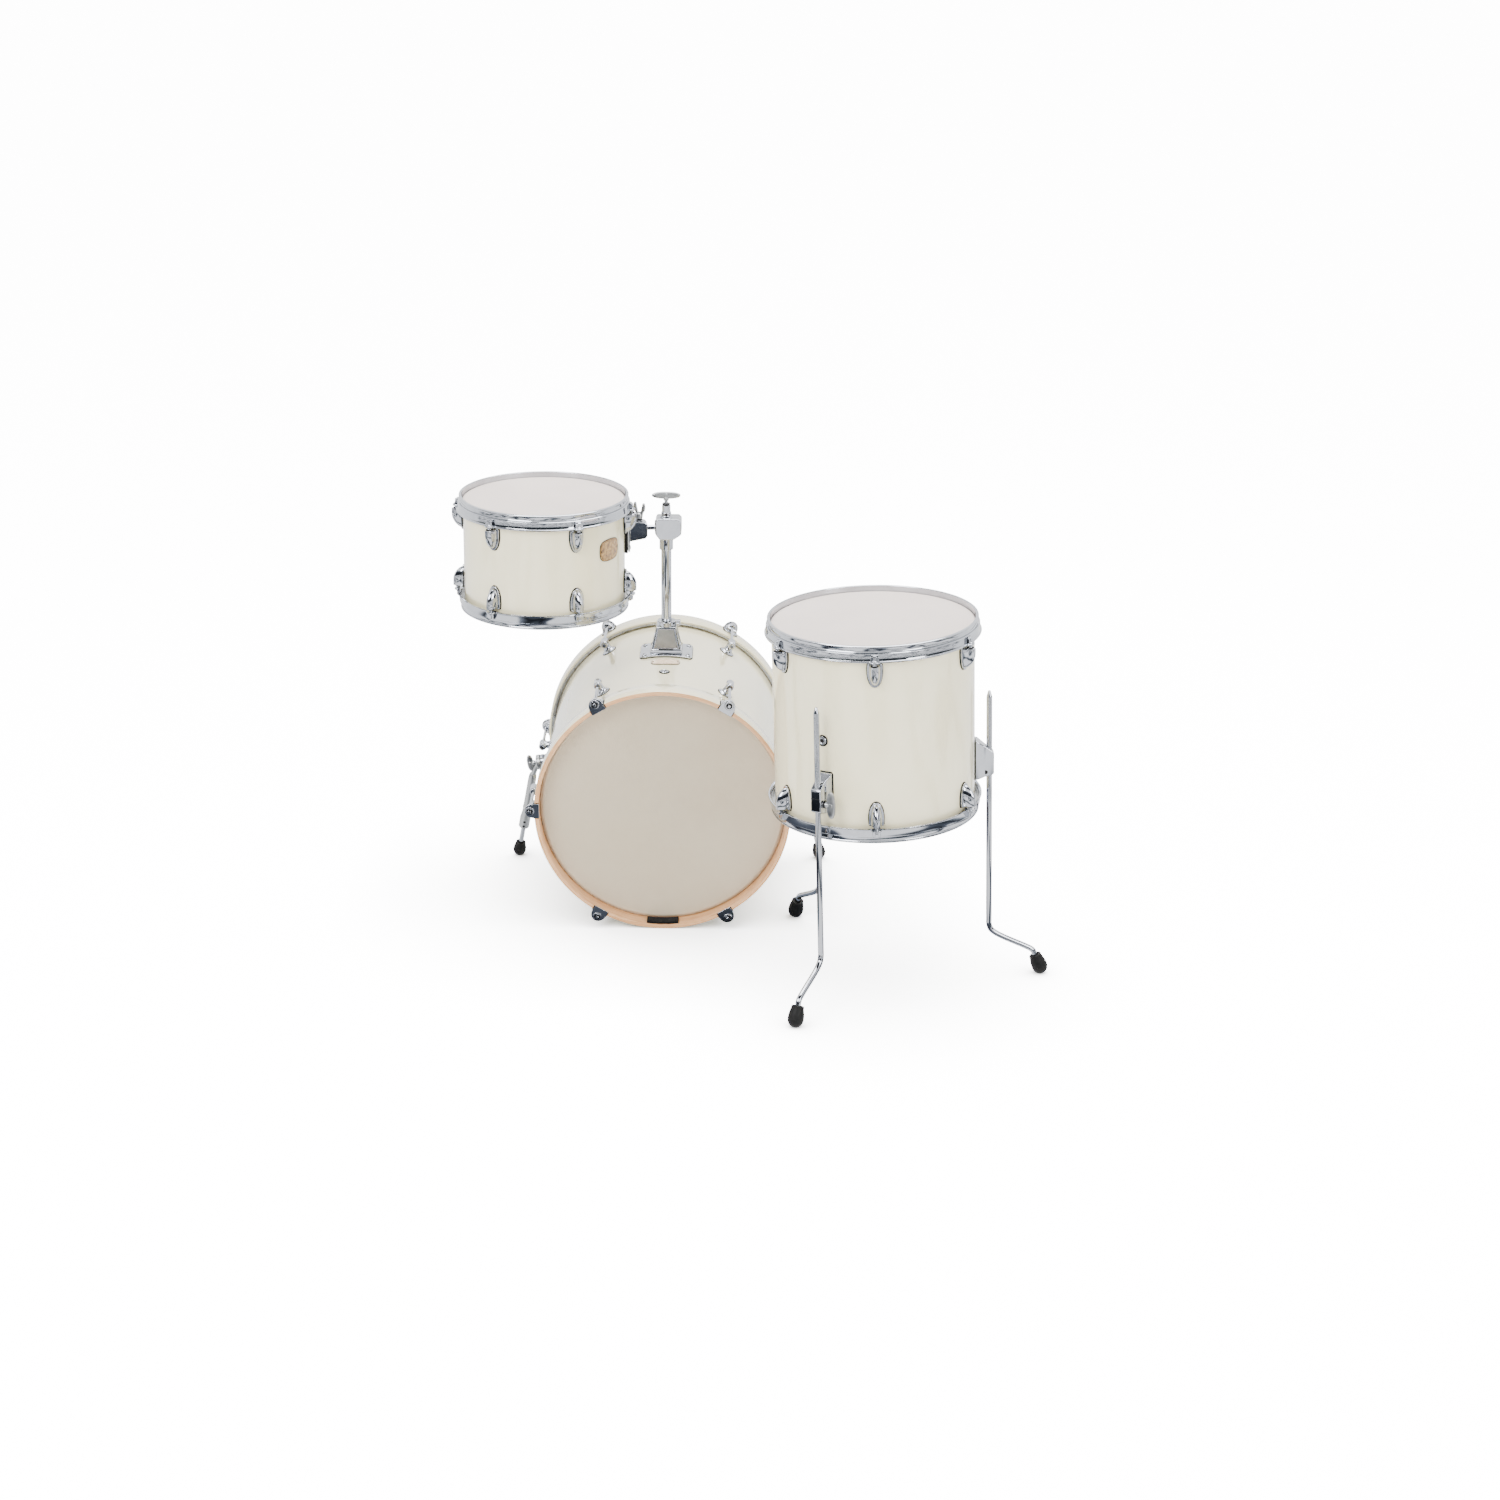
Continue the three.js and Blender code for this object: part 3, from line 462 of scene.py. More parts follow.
def settle(piece: bpy.types.Object, place: Matrix) -> bpy.types.Object:
    """Moves a piece by a matrix and applies it, so the object stays at the origin.

    Args:
        piece: The piece, with no transform of its own.
        place: The matrix, in metres.

    Returns:
        The same piece.
    """
    take(piece)
    piece.matrix_world = place
    bpy.ops.object.transform_apply(location=True, rotation=True, scale=True)
    return piece


def shift(piece: bpy.types.Object, x: float = 0, y: float = 0,
          z: float = 0) -> bpy.types.Object:
    """Moves a piece by millimetres and applies it."""
    return settle(piece, Matrix.Translation(Vector((x, y, z)) * MM))


def use(piece: bpy.types.Object, kind: str, **settings: object) -> bpy.types.Object:
    """Adds a modifier with its settings and applies it.

    Args:
        piece: The piece that receives it.
        kind: Blender's modifier type.
        settings: Attributes set on the modifier.

    Returns:
        The same piece.
    """
    take(piece)
    modifier = piece.modifiers.new(kind.lower(), kind)
    for name, value in settings.items():
        setattr(modifier, name, value)
    bpy.ops.object.modifier_apply(modifier=modifier.name)
    return piece


def bevel(piece: bpy.types.Object, width: float, segments: int = 2,
          angle: float = 30.0) -> bpy.types.Object:
    """Rolls every edge sharper than an angle.

    Args:
        piece: The piece to bevel.
        width: Bevel width in millimetres.
        segments: Bevel segments.
        angle: Smallest bend in degrees that is rolled.

    Returns:
        The same piece.
    """
    use(piece, "BEVEL", width=width * MM, segments=segments, limit_method="ANGLE",
        angle_limit=math.radians(angle), use_clamp_overlap=True)
    bpy.ops.object.shade_smooth_by_angle(angle=math.radians(35))
    return piece


def plate(name: str, outline: Sequence[Flat], thickness: float, edge: float = 0.0,
          segments: int = 2) -> bpy.types.Object:
    """Fills an XY outline and extrudes it up Z from zero.

    Args:
        name: Name of the piece.
        outline: Corners in millimetres.
        thickness: Extrusion in millimetres.
        edge: Bevel width in millimetres.
        segments: Bevel segments.

    Returns:
        The closed plate.
    """
    piece = chain(name, [(x, y, 0.0) for x, y in outline])
    bpy.ops.mesh.edge_face_add()
    bpy.ops.mesh.extrude_region_move(
        TRANSFORM_OT_translate={"value": (0, 0, thickness * MM)})
    tidy_mesh()
    if edge:
        bevel(piece, edge, segments)
    return piece


def loft(name: str, outline: Sequence[Flat], stages: Sequence[tuple[float, float, float]],
         about: Flat = (0.0, 0.0), edge: float = 0.0, segments: int = 2) -> bpy.types.Object:
    """Extrudes an XY outline up Z in stages, resizing at each.

    Args:
        name: Name of the piece.
        outline: Corners of the first section in millimetres.
        stages: For each stage its height, and its X and Y size relative to the outline.
        about: Point of the section that stays put when it is resized.
        edge: Bevel width in millimetres.
        segments: Bevel segments.

    Returns:
        The closed solid.
    """
    piece = chain(name, [(x, y, 0.0) for x, y in outline])
    bpy.ops.mesh.edge_face_add()
    height, wide, deep = 0.0, 1.0, 1.0
    for z, sx, sy in stages:
        bpy.ops.mesh.extrude_region_move(
            TRANSFORM_OT_translate={"value": (0, 0, (z - height) * MM)})
        bpy.ops.transform.resize(
            value=(sx / wide, sy / deep, 1.0),
            center_override=(about[0] * MM, about[1] * MM, z * MM))
        height, wide, deep = z, sx, sy
    tidy_mesh()
    if edge:
        bevel(piece, edge, segments)
    return piece


def oval(half_x: float, half_y: float, count: int = 24, power: float = 2.0) -> list[Flat]:
    """Draws a superellipse outline.

    Args:
        half_x: Half of its width in millimetres.
        half_y: Half of its height in millimetres.
        count: Number of corners.
        power: Two for an ellipse, more for squarer shoulders.

    Returns:
        The outline's corners.
    """
    points = []
    for i in range(count):
        a = 2 * math.pi * (i + 0.5) / count
        c, s = math.cos(a), math.sin(a)
        x = half_x * math.copysign(abs(c) ** (2 / power), c)
        y = half_y * math.copysign(abs(s) ** (2 / power), s)
        points.append((x, y))
    return points


def hexagon(radius: float, start: float = 0.0) -> list[Flat]:
    """Draws a hexagon by the radius of its corners and the angle of the first, in degrees."""
    angles = [math.radians(start + 60 * i) for i in range(6)]
    return [(radius * math.cos(a), radius * math.sin(a)) for a in angles]


def tube(name: str, points: Sequence[Point], radius: float, sides: int = 20,
         fine: int = 6) -> bpy.types.Object:
    """Sweeps a round bar along a smooth path through points.

    Args:
        name: Name of the piece.
        points: Path in millimetres.
        radius: Bar radius in millimetres.
        sides: Facets round the bar.
        fine: Steps between two path points.

    Returns:
        The bar as a closed mesh.
    """
    object_mode()
    bpy.ops.curve.primitive_nurbs_path_add()
    wire = bpy.context.object
    wire.data.splines.clear()
    spline = wire.data.splines.new("POLY")
    path = smooth_path([Vector(p) * MM for p in points], fine)
    spline.points.add(len(path) - 1)
    for knot, place in zip(spline.points, path):
        knot.co = (*place, 1.0)
    wire.data.dimensions = "3D"
    wire.data.bevel_depth = radius * MM
    wire.data.bevel_resolution = max(1, sides // 4 - 1)
    wire.data.use_fill_caps = True
    take(wire)
    bpy.ops.object.convert(target="MESH")
    piece = bpy.context.object
    piece.name = name
    piece.data.name = name
    edit(piece)
    tidy_mesh(50)
    return piece


def smooth_path(knots: Sequence[Vector], fine: int) -> list[Vector]:
    """Draws a smooth path whose slope at each knot follows the knots beside it.

    Args:
        knots: Points that the path goes through.
        fine: Steps between two knots.

    Returns:
        The points of the path.
    """
    path = []
    for i in range(len(knots) - 1):
        before = knots[max(i - 1, 0)]
        a, b = knots[i], knots[i + 1]
        after = knots[min(i + 2, len(knots) - 1)]
        length = (b - a).length
        ma = (b - before) * (length / max((b - before).length, 1e-9))
        mb = (after - a) * (length / max((after - a).length, 1e-9))
        for k in range(fine):
            t = k / fine
            path.append(a * (2 * t ** 3 - 3 * t ** 2 + 1) + ma * (t ** 3 - 2 * t ** 2 + t)
                        + b * (3 * t ** 2 - 2 * t ** 3) + mb * (t ** 3 - t ** 2))
    path.append(knots[-1])
    return path


def drill(piece: bpy.types.Object, *cutters: bpy.types.Object) -> bpy.types.Object:
    """Subtracts closed cutters from a piece and removes them.

    Args:
        piece: The piece that is cut.
        cutters: Closed solids, which are used up.

    Returns:
        The cut piece in object mode.
    """
    for cutter in cutters:
        use(piece, "BOOLEAN", object=cutter, operation="DIFFERENCE", solver="EXACT")
        bpy.data.objects.remove(cutter, do_unlink=True)
    edit(piece)
    tidy_mesh()
    return piece


def merge(name: str, *pieces: bpy.types.Object) -> bpy.types.Object:
    """Joins finished solids into one piece.

    Args:
        name: Name of the joined piece.
        pieces: The solids, the first of which takes in the others.

    Returns:
        The joined piece.
    """
    take(pieces[0])
    for other in pieces[1:]:
        other.select_set(True)
    bpy.ops.object.join()
    made = bpy.context.object
    made.name = name
    made.data.name = name
    return made


def dress(piece: bpy.types.Object, finish: Finish) -> bpy.types.Object:
    """Gives a piece one finish all over.

    Args:
        piece: The piece to dress.
        finish: Its finish, which also names the record's slot.

    Returns:
        The same piece.
    """
    piece.data.materials.clear()
    piece.data.materials.append(finish.material())
    piece["finish_slot"] = finish.slot
    return piece


def twin(piece: bpy.types.Object, name: str, place: Matrix) -> bpy.types.Object:
    """Copies a piece with its own mesh and settles the copy.

    Args:
        piece: The pattern piece.
        name: Name of the copy.
        place: Matrix of the copy, in metres.

    Returns:
        The copy.
    """
    copy = piece.copy()
    copy.data = piece.data.copy()
    copy.name = name
    copy.data.name = name
    bpy.context.scene.collection.objects.link(copy)
    return settle(copy, place)


def discard(*pieces: bpy.types.Object) -> None:
    """Removes pattern pieces that were only copied."""
    for piece in pieces:
        bpy.data.objects.remove(piece, do_unlink=True)


def fit(piece: bpy.types.Object, body: str, *stands_for: str) -> bpy.types.Object:
    """Gives a finished piece to its body and hides the CAD nodes that it stands for.

    Args:
        piece: The dressed piece.
        body: Body that it moves with.
        stands_for: CAD nodes that it replaces.

    Returns:
        The same piece.
    """
    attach(piece, body)
    if stands_for:
        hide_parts(*stands_for)
    log.info("%s rides on %s, %d faces", piece.name, body, len(piece.data.polygons))
    return piece


def bend_round(piece: bpy.types.Object, radius: float, cuts: int = 9) -> bpy.types.Object:
    """Cuts a flat XZ plate into strips and bends it round a drum whose axis is Z.

    Args:
        piece: Plate near the origin, its outside facing -Y.
        radius: Drum radius in millimetres.
        cuts: Number of cuts across the plate.

    Returns:
        The bent plate, its middle still at the origin.
    """
    xs = [v.co.x for v in piece.data.vertices]
    low, high = min(xs), max(xs)
    for i in range(1, cuts + 1):
        edit(piece)
        x = low + (high - low) * i / (cuts + 1)
        bpy.ops.mesh.bisect(plane_co=(x, 0, 0), plane_no=(1, 0, 0))
    object_mode()
    for vertex in piece.data.vertices:
        angle = vertex.co.x / (radius * MM)
        reach = radius * MM - vertex.co.y
        vertex.co.x = reach * math.sin(angle)
        vertex.co.y = radius * MM - reach * math.cos(angle)
    return piece


# ------------------------------------------------------------------ frames of the sub-assemblies
def joint(name: str) -> dict:
    """Returns a joint of the record by name."""
    return next(j for j in frame["joints"] if j["name"] == name)


def basis(up: Vector, across: Vector, origin: Vector) -> Matrix:
    """Builds a frame.

    Args:
        up: Its Z axis.
        across: Its X axis, which is squared up to Z.
        origin: Its origin in metres.

    Returns:
        The frame's matrix.
    """
    z = up.normalized()
    y = z.cross(across).normalized()
    x = y.cross(z)
    return Matrix.Translation(origin) @ Matrix((x, y, z)).transposed().to_4x4()


def spin_about(direction: Vector, axis: Vector, degrees: float) -> Vector:
    """Turns a direction about an axis."""
    return Matrix.Rotation(math.radians(degrees), 3, axis.normalized()) @ direction


BALL = Vector(joint("tom_swing")["pos_m"])
POST_UP = Vector(joint("tom_height")["axis"])
ROD_WAY = Vector(joint("tom_reach")["axis"])
TOM_UP = Vector(joint("bracket_bolt_turn")["axis"])
LEG_UP = Vector(joint("leg_height_right")["axis"])
# Millimetres and degrees. The ball stands above the bass shell's top, over the post's station.
TOM_REACH = 229.0
BRACKET_AZIMUTH = 98.0
RACK_LIP_ABOVE_ROD = 71.5
RIGHT_LEG_AZIMUTH = 89.5
FLOOR_LIP_ABOVE_BOLTS = 284.0
BASS_RADIUS = 227.0
BASS_LENGTH = 438.0
POST_STATION = 254.0
BALL_UP = 246.0

# Bass frame: X across, Y along the drum from the struck hoop edge, Z out of its top.
BASS = basis(POST_UP, Vector((1, 0, 0)), BALL) @ Matrix.Translation(
    Vector((0, -POST_STATION, -BASS_RADIUS - BALL_UP)) * MM)
CLAMP = basis(POST_UP, Vector((1, 0, 0)), BALL)
TOM = basis(TOM_UP, spin_about(ROD_WAY, TOM_UP, -(BRACKET_AZIMUTH + 90)),
            BALL + ROD_WAY * TOM_REACH * MM)
TOM_LIP = TOM @ Matrix.Translation((0, 0, RACK_LIP_ABOVE_ROD * MM))
LEG_BOLTS = [Vector(joint(f"leg_bolt_turn_{n}")["pos_m"])
             for n in ("front_left", "right", "rear_left")]
FLOOR_LIP = basis(
    LEG_UP,
    spin_about(Vector(joint("leg_bolt_turn_right")["axis"]), LEG_UP, -RIGHT_LEG_AZIMUTH),
    sum(LEG_BOLTS, Vector()) / 3 + LEG_UP * FLOOR_LIP_ABOVE_BOLTS * MM)
# Lays a piece made up Z so that its Z points along -Y, out of a drum, or along +Y.
OUTWARD = Matrix.Rotation(math.radians(90), 4, "X")
ALONG = Matrix.Rotation(math.radians(-90), 4, "X")


def around(degrees: float, axis: str = "Z") -> Matrix:
    """Returns a turn about an axis of the current frame."""
    return Matrix.Rotation(math.radians(degrees), 4, axis)


def moved(x: float = 0, y: float = 0, z: float = 0) -> Matrix:
    """Returns a move in millimetres."""
    return Matrix.Translation(Vector((x, y, z)) * MM)


def side_plate(name: str, outline: Sequence[Flat], thickness: float,
               edge: float = 0.0) -> bpy.types.Object:
    """Makes a plate whose outline faces sideways, centred on X, outward along -Y.

    Args:
        name: Name of the piece.
        outline: Corners as [out, up] in millimetres.
        thickness: Width along X.
        edge: Bevel width.

    Returns:
        The closed plate.
    """
    piece = plate(name, outline, thickness, edge)
    # [out, up] in XY becomes -Y and Z, with the thickness along X.
    return settle(piece, around(-90) @ OUTWARD @ moved(z=-thickness / 2))


# ------------------------------------------------------------------ shared hardware
@dataclass
class Fittings:
    """Bolts, screws, badges and vents shared by the drums, sizes in millimetres."""

    key_head: float = 5.6
    rod_radius: float = 2.9

    def key_rod(self, name: str, shank: float, flange: float = 5.4) -> bpy.types.Object:
        """Square-headed tension rod hanging down from its flange at z = 0.

        Args:
            name: Name of the piece.
            shank: Length of the shank.
            flange: Radius of the washer flange.

        Returns:
            The dressed rod.
        """
        r = self.rod_radius
        body = turned(name, [(0, -shank), (r - 0.6, -shank), (r, -shank + 1), (r, 0),
                             (flange, 0), (flange, 1.1), (flange - 0.7, 1.8), (3.6, 2.1),
                             (3.6, 3), (0, 3)], 24, edge=0.2)
        half = self.key_head / 2
        head = loft(name, [(-half, -half), (half, -half), (half, half), (-half, half)],
                    [(7.0, 1, 1), (8.0, 0.82, 0.82)], edge=0.35)
        shift(head, z=2.5)
        return dress(merge(name, body, head), CHROME)

    def wing_bolt(self, name: str, stem: float, spread: float,
                  rise: float) -> bpy.types.Object:
        """Makes two swept wings on a round hub, seat at z = 0, wings along X.

        Args:
            name: Name of the piece.
            stem: Height of the hub's underside.
            spread: Half of the span across the wings.
            rise: Height of the wings above the hub's underside.

        Returns:
            The dressed bolt with its screw and washer.
        """
        half = [(0, -4.6), (4.2, -4.4), (6.6, -3.0), (spread - 4.5, 5), (spread - 0.4, 11),
                (spread + 0.6, 17), (spread - 0.6, rise - 1.5), (spread - 3.4, rise),
                (spread - 5.4, rise - 2.4), (spread - 6.2, rise - 8), (3.4, 8), (0, 7)]
        outline = half + [(-x, y) for x, y in reversed(half[1:-1])]
        wings = plate(name, outline, 4.4, 1.4, 3)
        settle(wings, moved(z=stem + 4.6) @ OUTWARD @ moved(z=-2.2))
        hub = turned(name, [(0, stem - 0.5), (5.6, stem - 0.5), (6.4, stem + 0.8),
                            (6.4, stem + 6), (5.2, stem + 9), (2.6, stem + 10.4),
                            (0, stem + 10.6)], 28, edge=0.5)
        dress(wings, SATIN)
        dress(hub, SATIN)
        screw = turned(name, [(0, 0.3), (3.1, 0.3), (3.1, stem), (0, stem)], 20, edge=0.2)
        washer = turned(name, [(3.1, 0.3), (6.6, 0.3), (6.6, 1.9), (3.1, 1.9)], 28, edge=0.4)
        return merge(name, wings, hub, dress(screw, CHROME), dress(washer, RESIN))

    def oval_bolt(self, name: str, stem: float, half_x: float,
                  half_z: float, nut: float = 5.0) -> bpy.types.Object:
        """Makes a cast oval handle with a hub, seat at z = 0, handle along X.

        Args:
            name: Name of the piece.
            stem: Height of the handle's lower edge.
            half_x: Half of the handle's width.
            half_z: Half of the handle's height.
            nut: Radius of the hub.

        Returns:
            The dressed bolt with its screw.
        """
        handle = loft(name, oval(half_x, half_z, 32, 2.3),
                      [(1.6, 1, 1), (2.8, 0.9, 0.84), (3.2, 0.6, 0.5)], edge=0.4)
        back = twin(handle, name, around(180, "X"))
        both = merge(name, handle, back)
        settle(both, moved(z=stem + half_z) @ OUTWARD)
        rim = turned(name, [(0, -4), (3.6, -4), (4.4, -3), (4.4, 3), (3.6, 4), (0, 4)], 24)
        settle(rim, moved(z=stem + half_z) @ OUTWARD)
        hub = turned(name, [(0, stem - 3), (nut - 0.6, stem - 3), (nut, stem - 2.4),
                            (nut, stem + 1), (3.6, stem + 4.4), (0, stem + 5)], 24, edge=0.4)
        screw = turned(name, [(0, 0.3), (3.2, 0.3), (3.2, stem), (0, stem)], 20, edge=0.2)
        return merge(name, dress(both, SATIN), dress(rim, SATIN), dress(hub, SATIN),
                     dress(screw, CHROME))

    def badge(self, name: str, radius: float, face: Finish, wide: float = 56.0,
              high: float = 42.0) -> bpy.types.Object:
        """Barrel-shaped badge at the origin, its outside facing -Y, bent to a drum.

        Args:
            name: Name of the piece.
            radius: Radius of the shell it is pinned to.
            face: Finish of the enamel face.
            wide: Width across the middle.
            high: Height at the middle.

        Returns:
            The dressed badge with its rim and two pins.
        """
        def barrel(grow: float) -> list[Flat]:
            """Returns the barrel outline grown by a margin."""
            w, h = wide / 2 + grow, high / 2 + grow
            corner_x, corner_y = w * 0.87, h * 0.70
            top = [(corner_x * math.cos(math.pi * i / 8),
                    corner_y + (h - corner_y) * math.sin(math.pi * i / 8)) for i in range(9)]
            left = [(-corner_x - (w - corner_x) * math.sin(math.pi * i / 6),
                     corner_y * math.cos(math.pi * i / 6)) for i in range(1, 6)]
            low = [(-x, -y) for x, y in top]
            right = [(-x, -y) for x, y in left]
            return top + left + low + right

        rim = dress(plate(name, barrel(0), 1.0, 0.25), BRONZE)
        enamel = dress(plate(name, barrel(-1.1), 0.35, 0.12), face)
        shift(enamel, z=0.95)
        line = dress(plate(name, barrel(-2.6), 0.12), BRONZE)
        shift(line, z=1.25)
        inner = dress(plate(name, barrel(-3.1), 0.2), face)
        shift(inner, z=1.25)
        whole = merge(name, rim, enamel, line, inner)
        settle(whole, OUTWARD)
        bend_round(whole, radius + 0.4)
        pins = []
        for x in (-wide / 2 + 4.2, wide / 2 - 4.2):
            pin = turned(name, [(0, 0), (1.7, 0), (1.7, 1.5), (1.2, 2.0), (0, 2.2)], 16)
            angle = x / radius
            settle(pin, moved(radius * math.sin(angle), radius * (1 - math.cos(angle)))
                   @ around(math.degrees(angle)) @ OUTWARD)
            pins.append(dress(pin, BRONZE))
        return merge(name, whole, *pins)

    def vent(self, name: str, reach: float) -> bpy.types.Object:
        """Makes a chrome air-vent eyelet in a rubber seat, on z = 0.

        Args:
            name: Name of the piece.
            reach: How far its tube goes down through the shell.

        Returns:
            The dressed vent.
        """
        seat = turned(name, [(0, -0.8), (9.6, -0.8), (10.3, -0.2), (10.2, 0.9), (9.2, 1.5),
                             (0, 1.5)], 36, edge=0.2)
        ring = turned(name, [(3.8, -reach), (4.8, -reach), (5.0, 0.4), (7.4, 0.4), (7.9, 1.3),
                             (7.3, 2.4), (6.2, 2.9), (5.0, 2.9), (4.0, 2.3), (3.8, 1.2)],
                      32, edge=0.15)
        # Painted shade: a black plug fills the eyelet's bore, standing in for the shade inside the
        # drum.
        dark = turned(name, [(0, -reach + 0.3), (3.9, -reach + 0.3), (3.9, 1.7), (0, 1.7)],
                      24)
        return merge(name, dress(ring, CHROME), dress(seat, RUBBER), dress(dark, RECESS_SHADE))

    def foot(self, name: str, radius: float, height: float,
             bar: float) -> bpy.types.Object:
        """Makes a rubber foot with its axis up Z, widest at z = 0, bored for its bar.

        Args:
            name: Name of the piece.
            radius: Radius at its widest.
            height: Height of its neck above the widest place.
            bar: Radius of the bar that stands in it.

        Returns:
            The dressed foot.
        """
        r = radius
        profile = [(0, -r), (r * 0.3, -r * 0.97), (r * 0.55, -r * 0.86), (r * 0.78, -r * 0.65),
                   (r * 0.94, -r * 0.36), (r, 0), (r * 0.99, height * 0.22),
                   (r * 0.95, height * 0.42), (r * 0.87, height * 0.62),
                   (r * 0.80, height * 0.80), (r * 0.78, height - 0.6), (r * 0.70, height),
                   (bar + 1.2, height), (bar + 1.0, height - 3), (bar + 0.6, height * 0.4),
                   (bar + 0.6, 3), (0, 3)]
        body = turned(name, profile, 40, edge=0.3)
        grip = turned(name, [(r * 0.99, -1.0), (r + 0.15, -0.4), (r + 0.15, 0.6),
                             (r * 0.99, 1.2)], 40)
        return dress(merge(name, body, grip), RUBBER)


FIT = Fittings()


# ------------------------------------------------------------------ upright drums
@dataclass
class UprightDrum:
    """Tom with two steel rims, its frame at the centre of the top lip, millimetres.

    Attributes:
        name: Word that begins its nodes' names.
        body: Body that it moves with.
        place: Frame of the top lip.
        radius: Outside radius of the shell.
        depth: Length of the shell.
        lug_start: Direction of the first lug, in degrees.
        vent_at: Direction and height of the air vent.
        badge_at: Direction and height of the badge.
        wall: Thickness of the shell.
        rise: Height of a rim's lip above the shell's edge.
        rim_height: Height of a rim.
        rod_out: Distance of a tension rod from the shell.
        lug_top: Height of a lug's square end, from the lip.
        lug_count: Lugs at each end.
    """

    name: str
    body: str
    place: Matrix
    radius: float
    depth: float
    lug_start: float
    vent_at: tuple[float, float]
    badge_at: tuple[float, float]
    wall: float = 6.0
    rise: float = 11.0
    rim_height: float = 28.3
    rod_out: float = 13.3
    lug_top: float = -32.0
    lug_count: int = 6

    @property
    def height(self) -> float:
        """Distance between the two lips."""
        return self.depth + 2 * self.rise

    def end(self, which: DrumEnd) -> Matrix:
        """Finds the frame of one end, its lip at z = 0 and the drum below.

        Args:
            which: The struck or the far end.

        Returns:
            The frame's matrix.
        """
        if which is DrumEnd.STRUCK:
            return self.place
        return self.place @ moved(z=-self.height) @ around(180, "Y")

    def azimuths(self, which: DrumEnd) -> list[float]:
        """Returns the lug directions in the frame of one end."""
        sign = 1 if which is DrumEnd.STRUCK else -1
        return [sign * (self.lug_start + 60 * i) for i in range(self.lug_count)]

    def shell(self) -> bpy.types.Object:
        """Lacquered shell with rounded bearing edges and its vent hole."""
        r, w, top = self.radius, self.wall, -self.rise
        low = -self.height - top
        skin = turned(f"{self.name}_shell_lacquered", [
            (r - w / 2, top), (r - w / 2 + 1.2, top - 0.5), (r, top - 3), (r, low + 3),
            (r - w / 2 + 1.2, low + 0.5), (r - w / 2, low), (r - w, low + 3),
            (r - w, top - 3)], 144)
        azimuth, z = self.vent_at
        hole = turned("hole", [(0, -12), (5.3, -12), (5.3, 6), (0, 6)], 24)
        settle(hole, around(azimuth) @ moved(y=-r, z=z) @ OUTWARD)
        drill(skin, hole)
        return fit(dress(settle(skin, self.place), IVORY), self.body, f"{self.name}_shell")

    def head(self, which: DrumEnd) -> bpy.types.Object:
        """Makes one head: a film with its raised crease, and its flesh ring.

        Args:
            which: The end that it covers.

        Returns:
            The film.
        """
        r, film, ring = self.radius, -self.rise + 0.3, -self.rise - 3.3
        skin = turned(f"{self.name}_{which.value}_film", [
            (0, film + 0.35), (r - 6.5, film + 0.35), (r - 5.2, film + 0.75),
            (r - 3.6, film + 0.9), (r - 1.6, film + 0.6), (r + 0.6, film - 0.6),
            (r + 1.6, ring), (r + 1.2, ring - 2), (r + 0.4, ring - 2), (r + 0.3, film - 1),
            (r - 3.6, film + 0.3), (r - 6.5, film), (0, film)], 120)
        finish = COATED if which is DrumEnd.STRUCK else CLEAR
        dress(settle(skin, self.end(which)), finish)
        ring_piece = turned(f"{self.name}_{which.value}_flesh_ring", [
            (r + 0.5, ring + 0.2), (r + 6.7, ring + 0.2), (r + 6.7, ring - 7.6),
            (r + 5.4, ring - 7.6), (r + 5.4, ring - 1.4), (r + 0.5, ring - 1.4)], 96, edge=0.3)
        dress(settle(ring_piece, self.end(which)), RING)
        fit(ring_piece, self.body)
        node = "batter" if which is DrumEnd.STRUCK else "bottom"
        return fit(skin, self.body, f"{self.name}_{node}_head")

    def rim(self, which: DrumEnd) -> bpy.types.Object:
        """Makes a triple-flanged steel rim with one pressed ear at every lug.

        Args:
            which: The end that it holds.

        Returns:
            The rim.
        """
        r, low = self.radius, -self.rim_height
        ring = turned(f"{self.name}_{which.value}_rim", [
            (r + 1.9, -0.6), (r + 2.6, 0), (r + 6.0, -0.1), (r + 7.2, -0.9), (r + 7.3, -1.9),
            (r + 6.6, -2.5), (r + 4.9, -2.6), (r + 4.2, -3.6), (r + 4.2, -10.2),
            (r + 4.9, -11.4), (r + 8.2, -11.6), (r + 9.4, -12.6), (r + 9.6, -14.2),
            (r + 9.6, low + 4.4), (r + 10.2, low + 3.0), (r + 11.8, low + 2.4),
            (r + 12.5, low + 1.4), (r + 12.2, low + 0.3), (r + 9.6, low),
            (r + 7.8, low + 1.0), (r + 7.3, low + 3.2), (r + 7.3, -14.2), (r + 1.9, -14.0)],
            144, edge=0.25)
        parts = [ring]
        for azimuth in self.azimuths(which):
            ear = loft("ear", oval(9.2, 8.2, 24, 2.6), [(2.2, 1, 1), (2.9, 0.9, 0.9)],
                       edge=0.4)
            settle(ear, around(azimuth) @ moved(y=-r - self.rod_out + 1.2, z=low + 0.6))
            neck = loft("neck", [(-7.5, -4.6), (7.5, -4.6), (6.0, 3.4), (-6.0, 3.4)],
                        [(9.5, 0.94, 0.9), (12.8, 0.8, 0.55)], (0, 3.4), 0.8, 3)
            settle(neck, around(azimuth) @ moved(y=-r - 11.2, z=low + 2.4))
            parts += [ear, neck]
        whole = dress(merge(ring.name, *parts), CHROME)
        settle(whole, self.end(which))
        node = "top" if which is DrumEnd.STRUCK else "bottom"
        return fit(whole, self.body, f"{self.name}_{node}_rim")

